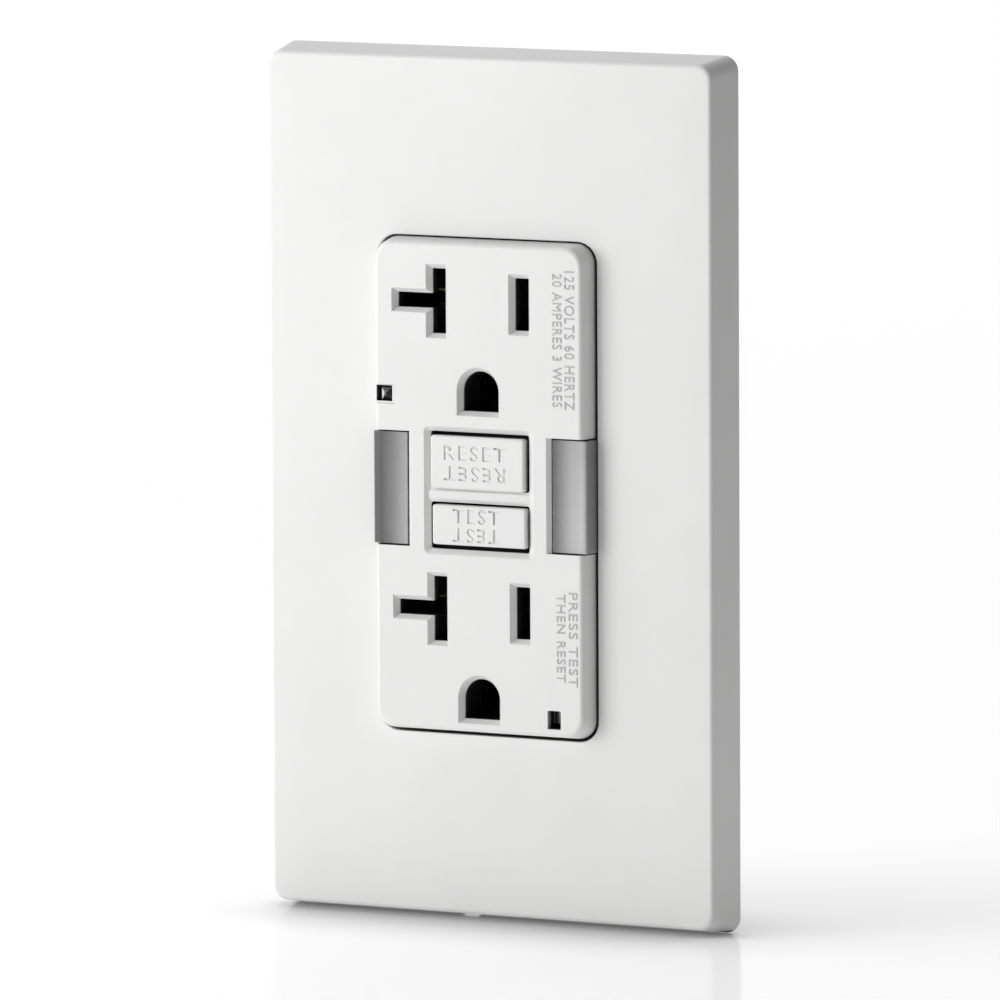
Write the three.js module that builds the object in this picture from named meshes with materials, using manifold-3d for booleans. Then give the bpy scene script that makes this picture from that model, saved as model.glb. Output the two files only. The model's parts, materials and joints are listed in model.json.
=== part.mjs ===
// A 20 A duplex ground-fault receptacle with guide lights, under a screwless wallplate.
// Units are millimetres. The origin is the middle of the device on the wall surface.
// +X is right, +Z is up and +Y goes into the wall, so the face of the outlet looks towards -Y.
import * as THREE from 'three';
import Module from 'manifold-3d';
import { mergeVertices } from 'three/addons/utils/BufferGeometryUtils.js';

const wasm = await Module();
wasm.setup();

// Wallplate, with the opening round the face block
const PLATE = {
  frontWidth: 67.8,
  frontHeight: 115.0,
  backWidth: 69.8,
  backHeight: 117.1,
  depth: 6.2,
  wall: 2.2,
  corner: 2.2,
  edge: 0.75,
};
const OPENING = { width: 33.9, height: 67.3, corner: 2.9 };

// Face block of the receptacle and the flange behind it
const FACE_Y = -8.9;
const FACE_WALL = 2.0;
const FACE_BACK = FACE_Y + FACE_WALL;
const BLOCK = { width: 33.2, height: 66.7, taper: 0.7, corner: 2.6, edge: 0.5 };
const FLANGE = { front: -3.1, back: -1.35 };

// Standard spacings of the receptacle and its box
const BLADE_X = 6.35;
const OUTLET_LINES = { upper: 25.0, lower: -16.35 };
const GROUND_DROP = 11.87;
const BOX_SCREW_Z = 83.34 / 2;
const PLATE_SCREW_Z = 96.84 / 2;

// Slots in the face
const SLOT = { width: 2.0, hotHeight: 7.0, neutralHeight: 8.7, armEnd: -12.65 };
const GROUND_HOLE = { radius: 2.68, flatDrop: 2.73 };
const LEAD_IN = { width: 0.62, depth: 0.83 };

// Strap and body
const STRAP = { thickness: 1.3, length: 106.4, earWidth: 34, spineHalf: 3.3, waistHalf: 12 };
const BODY = { width: 43, height: 68.5, corner: 1.5, back: 26.5, bevelWidth: 1.6, bevelDepth: 3.0 };
const INSIDE = { halfWidth: 15.4, halfHeight: 31.5, back: 24.9 };
const BODY_SCREW = { x: 17.3, z: 29, shaft: 1.2, head: 2.3, sink: 1.75 };

// Buttons
const BUTTON = { halfWidth: 7.18, front: -9.15, edge: 0.3, corner: 0.45, skirtHalf: 8.2, back: -5.2 };
const CAP_Z = { reset: [-0.05, 7.07], test: [-7.5, -2.2] };
const BUTTON_OPENING = { halfWidth: 7.65, reset: [-0.26, 7.62], test: [-8.35, -1.76] };
const RESET_AXIS_Z = 3.5;
const TEST_AXIS_Z = -4.85;
const PIN_RADIUS = 1.2;
const STEM_RADIUS = 1.5;

// Guide lights, light sensor and indicator
const WINDOW = { innerX: 10.9, z: [-8.1, 7.4], back: -4 };
const LENS = { recess: 0.35, inset: 0.15, play: 0.12, back: -4.1, hollowX: 14.9 };
const SENSOR_HOLE = { x: [-15.8, -12.85], z: [10.95, 13.5] };
const INDICATOR_HOLE = { x: [10.43, 12.46], z: [-31.6, -29.1] };

// Wire terminals on the sides
const TERMINAL_Y = 9.5;
const TERMINAL_ZS = { load: 16, line: -16 };
const TERMINAL_SIDES = { hot: 1, neutral: -1 };
const RECESS = { floorX: 17.2, halfHeight: 6, back: 17, wireX: 18.95, wireZ: 3, wireRadius: 1.25 };
const TERMINAL_SCREW = { shaft: 1.7, head: 3.6, under: 20.85, outer: 22.9, tip: 15.9, hole: 1.8 };
const CLAMP = { inner: 19.6, outer: 20.8, half: 4.3 };
const GROUND_SCREW_X = 11.5;
const GROUND_TAB_Z = [-35.9, -34.7];

// Contacts and trip mechanism
const STRIP = { front: 5.8, back: 6.6, top: 28.5, bottom: -20 };
const CONTACT_FRONT = -2.5;
const ARM = { y: [8.9, 9.4], pivotZ: -12.3, tipZ: 6, contactZ: 4.3 };
const TRANSFORMER = { z: -20, outer: 7.8, inner: 3.4 };
const COIL = { y: 15.6, bottom: 10.6, top: 21.4, outer: 5.2, tube: 2.9, bore: 2.1, flange: 5.5 };
const BOARD = { front: 21.6, back: 23.2, halfWidth: 15, halfHeight: 31 };
const LEGS_BACK = 21.5;

// Cutting tools run past the surface that they open
const PAST = 1;
// Parts that lie against each other keep this much play
const PLAY = 0.05;
// Where a quarter arc of radius 1 crosses its diagonal
const ARC_MIDDLE = 1 - Math.SQRT1_2;

const COLOURS = {
  white: { color: 0xeeeeec, roughness: 0.38, metalness: 0 },
  smoke: { color: 0x9b9d9e, roughness: 0.25, metalness: 0 },
  clear: { color: 0xdfe4e6, roughness: 0.1, metalness: 0 },
  zinc: { color: 0xb9bcc0, roughness: 0.35, metalness: 0.9 },
  brass: { color: 0xc9a24d, roughness: 0.3, metalness: 0.9 },
  green: { color: 0x2f7d46, roughness: 0.4, metalness: 0.7 },
  graphite: { color: 0x2b2c2f, roughness: 0.5, metalness: 0 },
  blue: { color: 0x2c5d9c, roughness: 0.5, metalness: 0 },
  board: { color: 0x1f6b3f, roughness: 0.45, metalness: 0 },
  copper: { color: 0xb4683a, roughness: 0.35, metalness: 0.8 },
  amber: { color: 0xe9dfc8, roughness: 0.4, metalness: 0 },
};

const device = new THREE.Group();

// ---------- geometry helpers ----------

// A span between two distances on one side (+1 or -1) of the middle.
function onSide(side, a, b) {
  return [side * a, side * b].sort((low, high) => low - high);
}

// A span centred on a value.
function about(middle, half) {
  return [middle - half, middle + half];
}

function solid(geometry) {
  const plain = geometry.index ? geometry.toNonIndexed() : geometry.clone();
  plain.deleteAttribute('normal');
  plain.deleteAttribute('uv');
  const merged = mergeVertices(plain, 1e-4);
  return new wasm.Manifold(new wasm.Mesh({
    numProp: 3,
    vertProperties: new Float32Array(merged.attributes.position.array),
    triVerts: new Uint32Array(merged.index.array),
  }));
}

function join(...pieces) {
  return pieces.reduce((whole, piece) => whole.add(piece));
}

function cut(whole, ...tools) {
  return tools.reduce((rest, tool) => rest.subtract(tool), whole);
}

function box([x0, x1], [y0, y1], [z0, z1]) {
  const shape = new THREE.BoxGeometry(x1 - x0, y1 - y0, z1 - z0);
  shape.translate((x0 + x1) / 2, (y0 + y1) / 2, (z0 + z1) / 2);
  return solid(shape);
}

// A round bar along one axis. The centre gives the two other coordinates in X, Y, Z order.
function bar(axis, [first, second], radius, [start, end], sides = 20) {
  const shape = new THREE.CylinderGeometry(radius, radius, end - start, sides);
  const middle = (start + end) / 2;
  if (axis === 'x') {
    shape.rotateZ(-Math.PI / 2);
    shape.translate(middle, first, second);
  } else if (axis === 'y') {
    shape.translate(first, middle, second);
  } else {
    shape.rotateX(Math.PI / 2);
    shape.translate(first, second, middle);
  }
  return solid(shape);
}

// Points of a rounded rectangle, counter-clockwise in X and Z.
function roundedOutline(width, height, radius, steps = 5, [cx, cz] = [0, 0]) {
  const points = [];
  const corners = [[1, 1, 0], [-1, 1, 1], [-1, -1, 2], [1, -1, 3]];
  for (const [sx, sz, quarter] of corners) {
    for (let i = 0; i <= steps; i += 1) {
      const angle = (quarter + i / steps) * Math.PI / 2;
      const x = sx * (width / 2 - radius) + radius * Math.cos(angle);
      const z = sz * (height / 2 - radius) + radius * Math.sin(angle);
      points.push(new THREE.Vector2(cx + x, cz + z));
    }
  }
  return points;
}

// A solid that joins outlines with equal point counts, from the front section to the back one.
function loft(sections) {
  const count = sections[0].points.length;
  const positions = [];
  const index = [];
  for (const { y, points } of sections) {
    for (const point of points) {
      positions.push(point.x, y, point.y);
    }
  }
  const last = (sections.length - 1) * count;
  for (const [a, b, c] of THREE.ShapeUtils.triangulateShape(sections[0].points, [])) {
    index.push(a, b, c, last + a, last + c, last + b);
  }
  for (let row = 0; row < sections.length - 1; row += 1) {
    for (let i = 0; i < count; i += 1) {
      const a = row * count + i;
      const b = row * count + (i + 1) % count;
      index.push(a, a + count, b, b, a + count, b + count);
    }
  }
  const shape = new THREE.BufferGeometry();
  shape.setAttribute('position', new THREE.Float32BufferAttribute(positions, 3));
  shape.setIndex(index);
  return solid(shape);
}

function slab(points, [front, back]) {
  return loft([{ y: front, points }, { y: back, points }]);
}

function add(name, piece, look) {
  const mesh = piece.getMesh();
  const shape = new THREE.BufferGeometry();
  shape.setAttribute('position', new THREE.Float32BufferAttribute(mesh.vertProperties, 3));
  shape.setIndex(new THREE.Uint32BufferAttribute(mesh.triVerts, 1));
  shape.computeVertexNormals();
  const part = new THREE.Mesh(shape, new THREE.MeshStandardMaterial(COLOURS[look]));
  part.name = name;
  device.add(part);
}

// A headed screw along one axis, with a straight slot across its head.
// The head lies between the shaft and the outer end of the screw.
function screw(axis, centre, { headRadius, shaftRadius, under, outer, tip, slotDepth = 0.9 }) {
  const outward = Math.sign(outer - under);
  const slotHalfWidth = 0.5;
  const rooted = under + outward * 0.2;
  const head = bar(axis, centre, headRadius, onSide(1, under, outer), 20);
  const shaft = bar(axis, centre, shaftRadius, onSide(1, rooted, tip), 14);
  const [first, second] = centre;
  const long = headRadius + PAST;
  const along = onSide(1, outer - outward * slotDepth, outer + outward * PAST);
  const slots = {
    x: () => box(along, about(first, slotHalfWidth), about(second, long)),
    y: () => box(about(first, long), along, about(second, slotHalfWidth)),
    z: () => box(about(first, long), about(second, slotHalfWidth), along),
  };
  return cut(join(head, shaft), slots[axis]());
}

// A round-wire compression spring along Y or Z with flat-enough ends.
function spring(axis, [first, second], coilRadius, wireRadius, [start, end], turns) {
  const stepsPerTurn = 10;
  const steps = turns * stepsPerTurn;
  const low = start + wireRadius;
  const rise = end - start - 2 * wireRadius;
  const points = [];
  for (let i = 0; i <= steps; i += 1) {
    const angle = (i / stepsPerTurn) * Math.PI * 2;
    const along = low + rise * (i / steps);
    const u = first + coilRadius * Math.cos(angle);
    const v = second + coilRadius * Math.sin(angle);
    points.push(axis === 'y' ? new THREE.Vector3(u, along, v) : new THREE.Vector3(u, v, along));
  }
  const wire = new THREE.Shape();
  wire.absarc(0, 0, wireRadius, 0, Math.PI * 2);
  const path = new THREE.CatmullRomCurve3(points);
  return solid(new THREE.ExtrudeGeometry(wire, {
    steps, curveSegments: 3, extrudePath: path, bevelEnabled: false,
  }));
}

function ring(axis, centre, outerRadius, innerRadius, span, sides = 28) {
  const [start, end] = span;
  return cut(
    bar(axis, centre, outerRadius, span, sides),
    bar(axis, centre, innerRadius, [start - PAST, end + PAST], sides),
  );
}

// ---------- outlines shared by the cover, the lenses and the contacts ----------

// The sides lean in strongly where the block stands proud of the plate, and hardly behind it.
function blockHalfWidth(y) {
  const slope = BLOCK.taper / (-PLATE.depth - FACE_Y);
  const hiddenShare = 0.2;
  return BLOCK.width / 2 + (y + PLATE.depth) * slope * (y < -PLATE.depth ? 1 : hiddenShare);
}

function blockOutline(y, inset) {
  const half = blockHalfWidth(y) - inset;
  const tall = half + (BLOCK.height - BLOCK.width) / 2;
  return roundedOutline(2 * half, 2 * tall, BLOCK.corner - inset);
}

// The face block as a solid, drawn in by an inset and set back from the face by a recess.
function blockSolid(inset, recess, back) {
  const front = FACE_Y + recess;
  const arc = ARC_MIDDLE * BLOCK.edge;
  return loft([
    { y: front, points: blockOutline(front, inset + BLOCK.edge) },
    { y: front + arc, points: blockOutline(front + arc, inset + arc) },
    { y: front + BLOCK.edge, points: blockOutline(front + BLOCK.edge, inset) },
    { y: -PLATE.depth, points: blockOutline(-PLATE.depth, inset) },
    { y: back, points: blockOutline(back, inset) },
  ]);
}

// A hole through the face wall with a sloping lead-in. outline(grow) draws it grown all round.
function chamferedHole(outline) {
  const above = 0.2;
  return join(
    loft([
      { y: FACE_Y - above, points: outline(LEAD_IN.width * (1 + above / LEAD_IN.depth)) },
      { y: FACE_Y + LEAD_IN.depth, points: outline(0) },
    ]),
    slab(outline(0), [FACE_Y + LEAD_IN.depth - PLAY, FACE_BACK + PAST]),
  );
}

function hotSlot(lineZ) {
  return (grow) => roundedOutline(
    SLOT.width + 2 * grow, SLOT.hotHeight + 2 * grow, 0.15 + grow * 0.1, 2, [BLADE_X, lineZ]);
}

function neutralSlot(lineZ) {
  return (grow) => {
    const right = -BLADE_X + SLOT.width / 2 + grow;
    const left = -BLADE_X - SLOT.width / 2 - grow;
    const end = SLOT.armEnd - grow;
    const tall = SLOT.neutralHeight / 2 + grow;
    const arm = SLOT.width / 2 + grow;
    const corners = [
      [right, tall], [left, tall], [left, arm], [end, arm],
      [end, -arm], [left, -arm], [left, -tall], [right, -tall],
    ];
    return corners.map(([x, z]) => new THREE.Vector2(x, lineZ + z));
  };
}

function groundSlot(lineZ) {
  const centre = lineZ - GROUND_DROP;
  const arcSteps = 12;
  return (grow) => {
    const radius = GROUND_HOLE.radius + grow;
    const flat = centre - GROUND_HOLE.flatDrop - grow;
    const points = [];
    for (let i = 0; i <= arcSteps; i += 1) {
      const angle = (i / arcSteps) * Math.PI;
      points.push(new THREE.Vector2(radius * Math.cos(angle), centre + radius * Math.sin(angle)));
    }
    points.push(new THREE.Vector2(-radius, flat));
    points.push(new THREE.Vector2(radius, flat));
    return points;
  };
}

// ---------- wallplate and subplate ----------

function wallplate() {
  // ratio runs from 0 at the front of the tapered side to 1 at the wall
  const outline = (inset, ratio) => roundedOutline(
    THREE.MathUtils.lerp(PLATE.frontWidth, PLATE.backWidth, ratio) - 2 * inset,
    THREE.MathUtils.lerp(PLATE.frontHeight, PLATE.backHeight, ratio) - 2 * inset,
    Math.max(PLATE.corner - 0.5 * inset, 0.6),
  );
  const front = -PLATE.depth;
  const arc = ARC_MIDDLE * PLATE.edge;
  const outer = loft([
    { y: front, points: outline(PLATE.edge, 0) },
    { y: front + arc, points: outline(arc, 0) },
    { y: front + PLATE.edge, points: outline(0, 0.06) },
    { y: 0, points: outline(0, 1) },
  ]);
  const inner = loft([
    { y: front + PLATE.wall, points: outline(PLATE.wall, 0.2) },
    { y: PAST, points: outline(PLATE.wall, 1.1) },
  ]);
  const opening = slab(
    roundedOutline(OPENING.width, OPENING.height, OPENING.corner), [front - PAST, 0]);
  add('wallplate', cut(outer, inner, opening), 'white');
}

const SUBPLATE = { width: 61, height: 108, corner: 2, front: -2.9, clear: 0.3 };
const HOOK = { x: 17, halfWidth: 3, front: -3.7, z: [53.2, 55], reliefHalf: 4.5, relief: [50.6, 51.6] };

function subplate() {
  const { width, height, corner, front, clear } = SUBPLATE;
  const back = -STRAP.thickness - 0.02;
  const through = [-5, PAST];
  const bodyHole = roundedOutline(BODY.width + 2 * clear, BODY.height + 2 * clear, BODY.corner);
  let frame = slab(roundedOutline(width, height, corner), [front, back]);
  const tools = [slab(bodyHole, through)];
  for (const side of [-1, 1]) {
    for (const x of [-HOOK.x, HOOK.x]) {
      frame = join(frame, box(about(x, HOOK.halfWidth), [HOOK.front, back], onSide(side, ...HOOK.z)));
      tools.push(box(about(x, HOOK.reliefHalf), through, onSide(side, ...HOOK.relief)));
    }
    tools.push(bar('y', [0, side * PLATE_SCREW_Z], 1.8, through, 16));
    tools.push(bar('y', [0, side * BOX_SCREW_Z], 4.4, through, 24));
  }
  add('subplate', cut(frame, ...tools), 'white');
  for (const [name, side] of [['top', 1], ['bottom', -1]]) {
    add(`subplate_screw_${name}`, screw('y', [0, side * PLATE_SCREW_Z], {
      headRadius: 2.9, shaftRadius: 1.55, under: front - PLAY, outer: -3.9, tip: 4, slotDepth: 0.5,
    }), 'zinc');
  }
}

// ---------- face cover ----------

// The sloping recess round both buttons, with the crossbar between them left standing.
function buttonBezel() {
  const front = FACE_Y - 0.2;
  const floor = FACE_Y + LEAD_IN.depth;
  const low = BUTTON_OPENING.test[0];
  const high = BUTTON_OPENING.reset[1];
  const centre = [0, (low + high) / 2];
  const width = 2 * BUTTON_OPENING.halfWidth;
  const recess = loft([
    { y: front, points: roundedOutline(width + 1.8, high - low + 1.53, 0.9, 3, centre) },
    { y: floor, points: roundedOutline(width, high - low, 0.4, 3, centre) },
  ]);
  const crossbarZ = [BUTTON_OPENING.test[1], BUTTON_OPENING.reset[0]];
  return cut(recess, box(about(0, BUTTON_OPENING.halfWidth + PAST), [FACE_Y, FACE_BACK], crossbarZ));
}

function faceCover() {
  const flange = slab(
    roundedOutline(BODY.width, BODY.height, BODY.corner), [FLANGE.front, FLANGE.back]);
  const cavity = slab(roundedOutline(28.8, 63.4, 1.2, 3), [FACE_BACK, FLANGE.back + PAST]);
  const through = [FACE_Y - PAST, FACE_BACK + PAST];
  const buttonX = about(0, BUTTON_OPENING.halfWidth);
  const tools = [
    cavity,
    buttonBezel(),
    box(buttonX, through, BUTTON_OPENING.reset),
    box(buttonX, through, BUTTON_OPENING.test),
    box(SENSOR_HOLE.x, through, SENSOR_HOLE.z),
    box(INDICATOR_HOLE.x, through, INDICATOR_HOLE.z),
  ];
  for (const side of [-1, 1]) {
    tools.push(box(onSide(side, WINDOW.innerX, BLOCK.width), [through[0], WINDOW.back], WINDOW.z));
  }
  for (const lineZ of Object.values(OUTLET_LINES)) {
    for (const outline of [hotSlot(lineZ), neutralSlot(lineZ), groundSlot(lineZ)]) {
      tools.push(chamferedHole(outline));
    }
  }
  for (const place of bodyScrewPlaces()) {
    tools.push(bar('y', place, BODY_SCREW.shaft + 0.15, [FLANGE.front + 0.3, 0], 12));
  }
  add('face_cover', cut(join(flange, blockSolid(0, 0, FLANGE.front + 0.2)), ...tools), 'white');
}

// ---------- buttons ----------

function buttonCap([low, high]) {
  const { halfWidth, front, edge, corner, skirtHalf, back } = BUTTON;
  const outline = (inset) => roundedOutline(
    2 * (halfWidth - inset), high - low - 2 * inset, corner, 3, [0, (low + high) / 2]);
  const cap = loft([
    { y: front, points: outline(edge) },
    { y: front + edge, points: outline(0) },
    { y: back, points: outline(0) },
  ]);
  const skirt = box(about(0, skirtHalf), [FACE_BACK + PLAY, back], [low + 0.1, high - 0.1]);
  return join(cap, skirt);
}

function resetPin() {
  const centre = [0, RESET_AXIS_Z];
  return join(
    bar('y', centre, PIN_RADIUS, [-7.1, 10.2], 14),
    bar('y', centre, 0.8, [10.1, 10.7], 14),
    bar('y', centre, PIN_RADIUS, [10.6, 10.95], 14),
  );
}

function buttons() {
  const resetCentre = [0, RESET_AXIS_Z];
  const socket = bar('y', resetCentre, PIN_RADIUS + PLAY, [-7.2, BUTTON.back + PAST], 14);
  add('reset_button', cut(buttonCap(CAP_Z.reset), socket), 'white');
  const stem = bar('y', [0, TEST_AXIS_Z], STEM_RADIUS, [BUTTON.back - 0.2, 2.3], 14);
  add('test_button', join(buttonCap(CAP_Z.test), stem), 'white');
  add('reset_pin', resetPin(), 'zinc');
  add('reset_spring', spring('y', resetCentre, 1.75, 0.22, [-5.15, -1.4], 4), 'zinc');
}

// ---------- guide lights, light sensor and indicator ----------

function guideLens(side) {
  const tall = [WINDOW.z[0] + LENS.play, WINDOW.z[1] - LENS.play];
  const wide = onSide(side, WINDOW.innerX + LENS.play, BLOCK.width);
  const shell = blockSolid(LENS.inset, LENS.recess, LENS.back)
    .intersect(box(wide, [FACE_Y, LENS.back], tall));
  const hollow = box(
    onSide(side, WINDOW.innerX, LENS.hollowX), [FACE_BACK, LENS.back + PAST], [-9, 9]);
  return cut(shell, hollow);
}

// A narrow board with two lamps that stand on it.
function ledStrip(side) {
  const lampX = onSide(side, 12.1, 13.4);
  const lamps = [3.5, -3.7].map((z) => box(lampX, [-6.0, -5.1], about(z, 0.9)));
  return join(box(onSide(side, 11.3, 14.2), [-5.2, -4.4], [-7.4, 6.8]), ...lamps);
}

function guideLights() {
  for (const [name, side] of [['left', -1], ['right', 1]]) {
    add(`guide_lens_${name}`, guideLens(side), 'smoke');
    add(`led_strip_${name}`, ledStrip(side), 'board');
  }
  const sensor = box([-15.35, -13.6], [FACE_Y + 0.45, FACE_BACK + 0.6], [11.3, 13.1]);
  add('sensor_lens', sensor, 'clear');
  add('photocell', bar('y', [-13.0, 12.2], 1.1, [-6.2, -4.6], 14), 'amber');
  const [left, right] = INDICATOR_HOLE.x;
  const [low, high] = INDICATOR_HOLE.z;
  const pipe = box([left + 0.15, right - 0.15], [FACE_Y + 1.5, -3.2], [low + 0.6, high - 0.15]);
  add('indicator_light_pipe', pipe, 'clear');
}

// ---------- strap ----------

function strapSheet() {
  const thickness = [-STRAP.thickness, 0];
  const end = STRAP.length / 2;
  const bodyEnd = BODY.height / 2 + 0.4;
  const pieces = [box(about(0, STRAP.spineHalf), thickness, about(0, bodyEnd))];
  for (const side of [-1, 1]) {
    const middle = [0, side * (end + bodyEnd) / 2];
    pieces.push(slab(roundedOutline(STRAP.earWidth, end - bodyEnd, 1.5, 3, middle), thickness));
    pieces.push(box(about(0, STRAP.waistHalf), thickness, onSide(side, 32, bodyEnd + 2)));
  }
  for (const lineZ of Object.values(OUTLET_LINES)) {
    pieces.push(box(about(0, 5.2), thickness, about(lineZ - GROUND_DROP + 0.2, 4.4)));
  }
  pieces.push(box(about(0, 5.5), thickness, [-8.6, 7.2]));
  pieces.push(box(about(GROUND_SCREW_X, 4.5), [-STRAP.thickness, 14], GROUND_TAB_Z));
  return join(...pieces);
}

function strapHoles() {
  const through = [-2, PAST];
  const holes = [
    bar('y', [0, RESET_AXIS_Z], PIN_RADIUS + 0.25, through, 16),
    bar('y', [0, TEST_AXIS_Z], STEM_RADIUS + 0.3, through, 16),
    bar('z', [GROUND_SCREW_X, TERMINAL_Y], 1.85, [-37, -33], 16),
  ];
  for (const lineZ of Object.values(OUTLET_LINES)) {
    holes.push(bar('y', [0, lineZ - GROUND_DROP], 3.35, through, 24));
  }
  for (const side of [-1, 1]) {
    holes.push(bar('y', [0, side * PLATE_SCREW_Z], 1.7, through, 16));
    holes.push(slab(roundedOutline(6.4, 4.0, 1.95, 5, [0, side * BOX_SCREW_Z]), through));
    for (const x of [-12, 12]) {
      holes.push(box(about(x, 0.6), through, onSide(side, 44, 54)));
    }
  }
  return holes;
}

function strap() {
  add('strap', cut(strapSheet(), ...strapHoles()), 'zinc');
  const under = -STRAP.thickness - PLAY;
  for (const [name, side] of [['top', 1], ['bottom', -1]]) {
    add(`box_screw_${name}`, screw('y', [0, side * BOX_SCREW_Z], {
      headRadius: 3.4, shaftRadius: 1.65, under, outer: -3.5, tip: 24,
    }), 'zinc');
  }
}

// ---------- housings ----------

function bodyScrewPlaces() {
  const places = [];
  for (const x of [-BODY_SCREW.x, BODY_SCREW.x]) {
    for (const z of [-BODY_SCREW.z, BODY_SCREW.z]) {
      places.push([x, z]);
    }
  }
  return places;
}

function middleHousing() {
  const tray = box(about(0, 15.2), [0.1, 8.5], about(0, 31.3));
  const pocketDepth = [-PAST, 7.3];
  const tools = [
    box(about(0, 3.6), [-PAST, 4.15], [-15.3, -13]),
    box(about(0, 3.6), pocketDepth, [-13.1, -1.4]),
    bar('y', [0, RESET_AXIS_Z], STEM_RADIUS, [-PAST, 10], 16),
  ];
  for (const lineZ of Object.values(OUTLET_LINES)) {
    tools.push(box(about(0, 4.0), pocketDepth, about(lineZ - GROUND_DROP, 4.4)));
  }
  for (const side of [-1, 1]) {
    tools.push(box(onSide(side, 4.2, 14.2), pocketDepth, [-21.8, 30.3]));
    tools.push(box(onSide(side, 3.7, 9.4), [7, 9], [-10.5, 8]));
    tools.push(box(onSide(side, 14, 16), [5.4, 7.0], about(TERMINAL_ZS.load, 2)));
  }
  add('middle_housing', cut(tray, ...tools), 'graphite');
}

// The recess of one wire terminal, with the slits of its plate and two back-wire holes.
function terminalRecess(side, z) {
  return [
    box(onSide(side, RECESS.floorX, 24), [-2, RECESS.back], about(z, RECESS.halfHeight)),
    box(onSide(side, 15, 17.5), [-2, 15.7], about(z, 1.8)),
    box(onSide(side, 15.6, 17.5), about(TERMINAL_Y, 2.1), about(z, 2.1)),
    ...[-RECESS.wireZ, RECESS.wireZ].map((shift) => bar(
      'y', [side * RECESS.wireX, z + shift], RECESS.wireRadius,
      [RECESS.back - PAST, BODY.back + PAST], 12)),
  ];
}

function rearHousing() {
  const outline = (inset) => roundedOutline(
    BODY.width - 2 * inset, BODY.height - 2 * inset, BODY.corner);
  const shell = loft([
    { y: -STRAP.thickness, points: outline(0) },
    { y: BODY.back - BODY.bevelDepth, points: outline(0) },
    { y: BODY.back, points: outline(BODY.bevelWidth) },
  ]);
  const tools = [
    box(about(0, INSIDE.halfWidth), [-2, INSIDE.back], about(0, INSIDE.halfHeight)),
    box(about(0, STRAP.waistHalf + 0.3), [-2, 0.1], about(0, 36)),
    box(about(0, 18), [-2, 0.1], [-36, -34]),
    bar('z', [GROUND_SCREW_X, TERMINAL_Y], 2.2, [-35, -32.8], 16),
  ];
  for (const side of Object.values(TERMINAL_SIDES)) {
    for (const z of Object.values(TERMINAL_ZS)) {
      tools.push(...terminalRecess(side, z));
    }
  }
  for (const place of bodyScrewPlaces()) {
    const seat = BODY.back - BODY_SCREW.sink - PLAY;
    tools.push(bar('y', place, BODY_SCREW.shaft + 0.2, [-2, BODY.back + PAST], 14));
    tools.push(bar('y', place, BODY_SCREW.head + 0.2, [seat, BODY.back + PAST], 18));
  }
  add('rear_housing', cut(shell, ...tools), 'graphite');
}

function bodyScrews() {
  bodyScrewPlaces().forEach((place, i) => {
    add(`assembly_screw_${i + 1}`, screw('y', place, {
      headRadius: BODY_SCREW.head,
      shaftRadius: BODY_SCREW.shaft,
      under: BODY.back - BODY_SCREW.sink,
      outer: BODY.back - 0.2,
      tip: FLANGE.front + 0.4,
      slotDepth: 0.7,
    }), 'zinc');
  });
}

// ---------- wire terminals ----------

function terminalPlate(kind, side, z) {
  const plate = box(onSide(side, 17.3, 18.3), [4, 15.4], about(z, 4.6));
  const tabZ = about(z, 1.5);
  const tabs = {
    load: [box(onSide(side, 10.2, 17.5), [5.75, 6.55], tabZ)],
    line: [
      box(onSide(side, 14.3, 17.5), [14.5, 15.3], tabZ),
      box(onSide(side, 14.3, 15.1), [14.5, LEGS_BACK], tabZ),
    ],
  };
  const hole = bar('x', [TERMINAL_Y, z], TERMINAL_SCREW.hole, onSide(side, 16, 20), 16);
  return cut(join(plate, ...tabs[kind]), hole);
}

// A square clamp with two grooves that grip the wires.
function wireClamp(side, z) {
  const { inner, outer, half } = CLAMP;
  const grooveDepth = onSide(side, inner - 0.3, inner + 0.3);
  const grooves = [-RECESS.wireZ, RECESS.wireZ].map(
    (shift) => box(grooveDepth, about(TERMINAL_Y, half + PAST), about(z + shift, 0.7)));
  const hole = bar(
    'x', [TERMINAL_Y, z], TERMINAL_SCREW.hole, onSide(side, inner - PAST, outer + PAST), 16);
  const plate = box(onSide(side, inner, outer), about(TERMINAL_Y, half), about(z, half));
  return cut(plate, hole, ...grooves);
}

function terminalScrew(side, z) {
  const { head, shaft, under, outer, tip } = TERMINAL_SCREW;
  return screw('x', [TERMINAL_Y, z], {
    headRadius: head, shaftRadius: shaft, under: side * under, outer: side * outer, tip: side * tip,
  });
}

function groundTerminal() {
  const centre = [GROUND_SCREW_X, TERMINAL_Y];
  const washer = cut(
    box(about(GROUND_SCREW_X, 4.2), about(TERMINAL_Y, 4.2), [-38.4, -37.2]),
    bar('z', centre, TERMINAL_SCREW.hole, [-40, -36], 16),
  );
  add('ground_clamp', washer, 'zinc');
  add('ground_screw', screw('z', centre, {
    headRadius: 3.4, shaftRadius: TERMINAL_SCREW.shaft, under: -38.45, outer: -40.5, tip: -33.1,
  }), 'green');
}

function terminals() {
  const screwLooks = { hot: 'brass', neutral: 'zinc' };
  for (const [kind, z] of Object.entries(TERMINAL_ZS)) {
    for (const [pole, side] of Object.entries(TERMINAL_SIDES)) {
      add(`${kind}_${pole}_plate`, terminalPlate(kind, side, z), 'brass');
      add(`${kind}_${pole}_clamp`, wireClamp(side, z), 'zinc');
      add(`${kind}_${pole}_screw`, terminalScrew(side, z), screwLooks[pole]);
    }
  }
  groundTerminal();
}

// ---------- contacts behind the face ----------

// The flat rail of one pole, with the tab that meets the load terminal.
function contactRail(side) {
  const depth = [STRIP.front, STRIP.back];
  return [
    box(onSide(side, 4.6, 8.6), depth, [STRIP.bottom, STRIP.top]),
    box(onSide(side, 8.4, 10.1), depth, about(TERMINAL_ZS.load, 2)),
  ];
}

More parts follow.
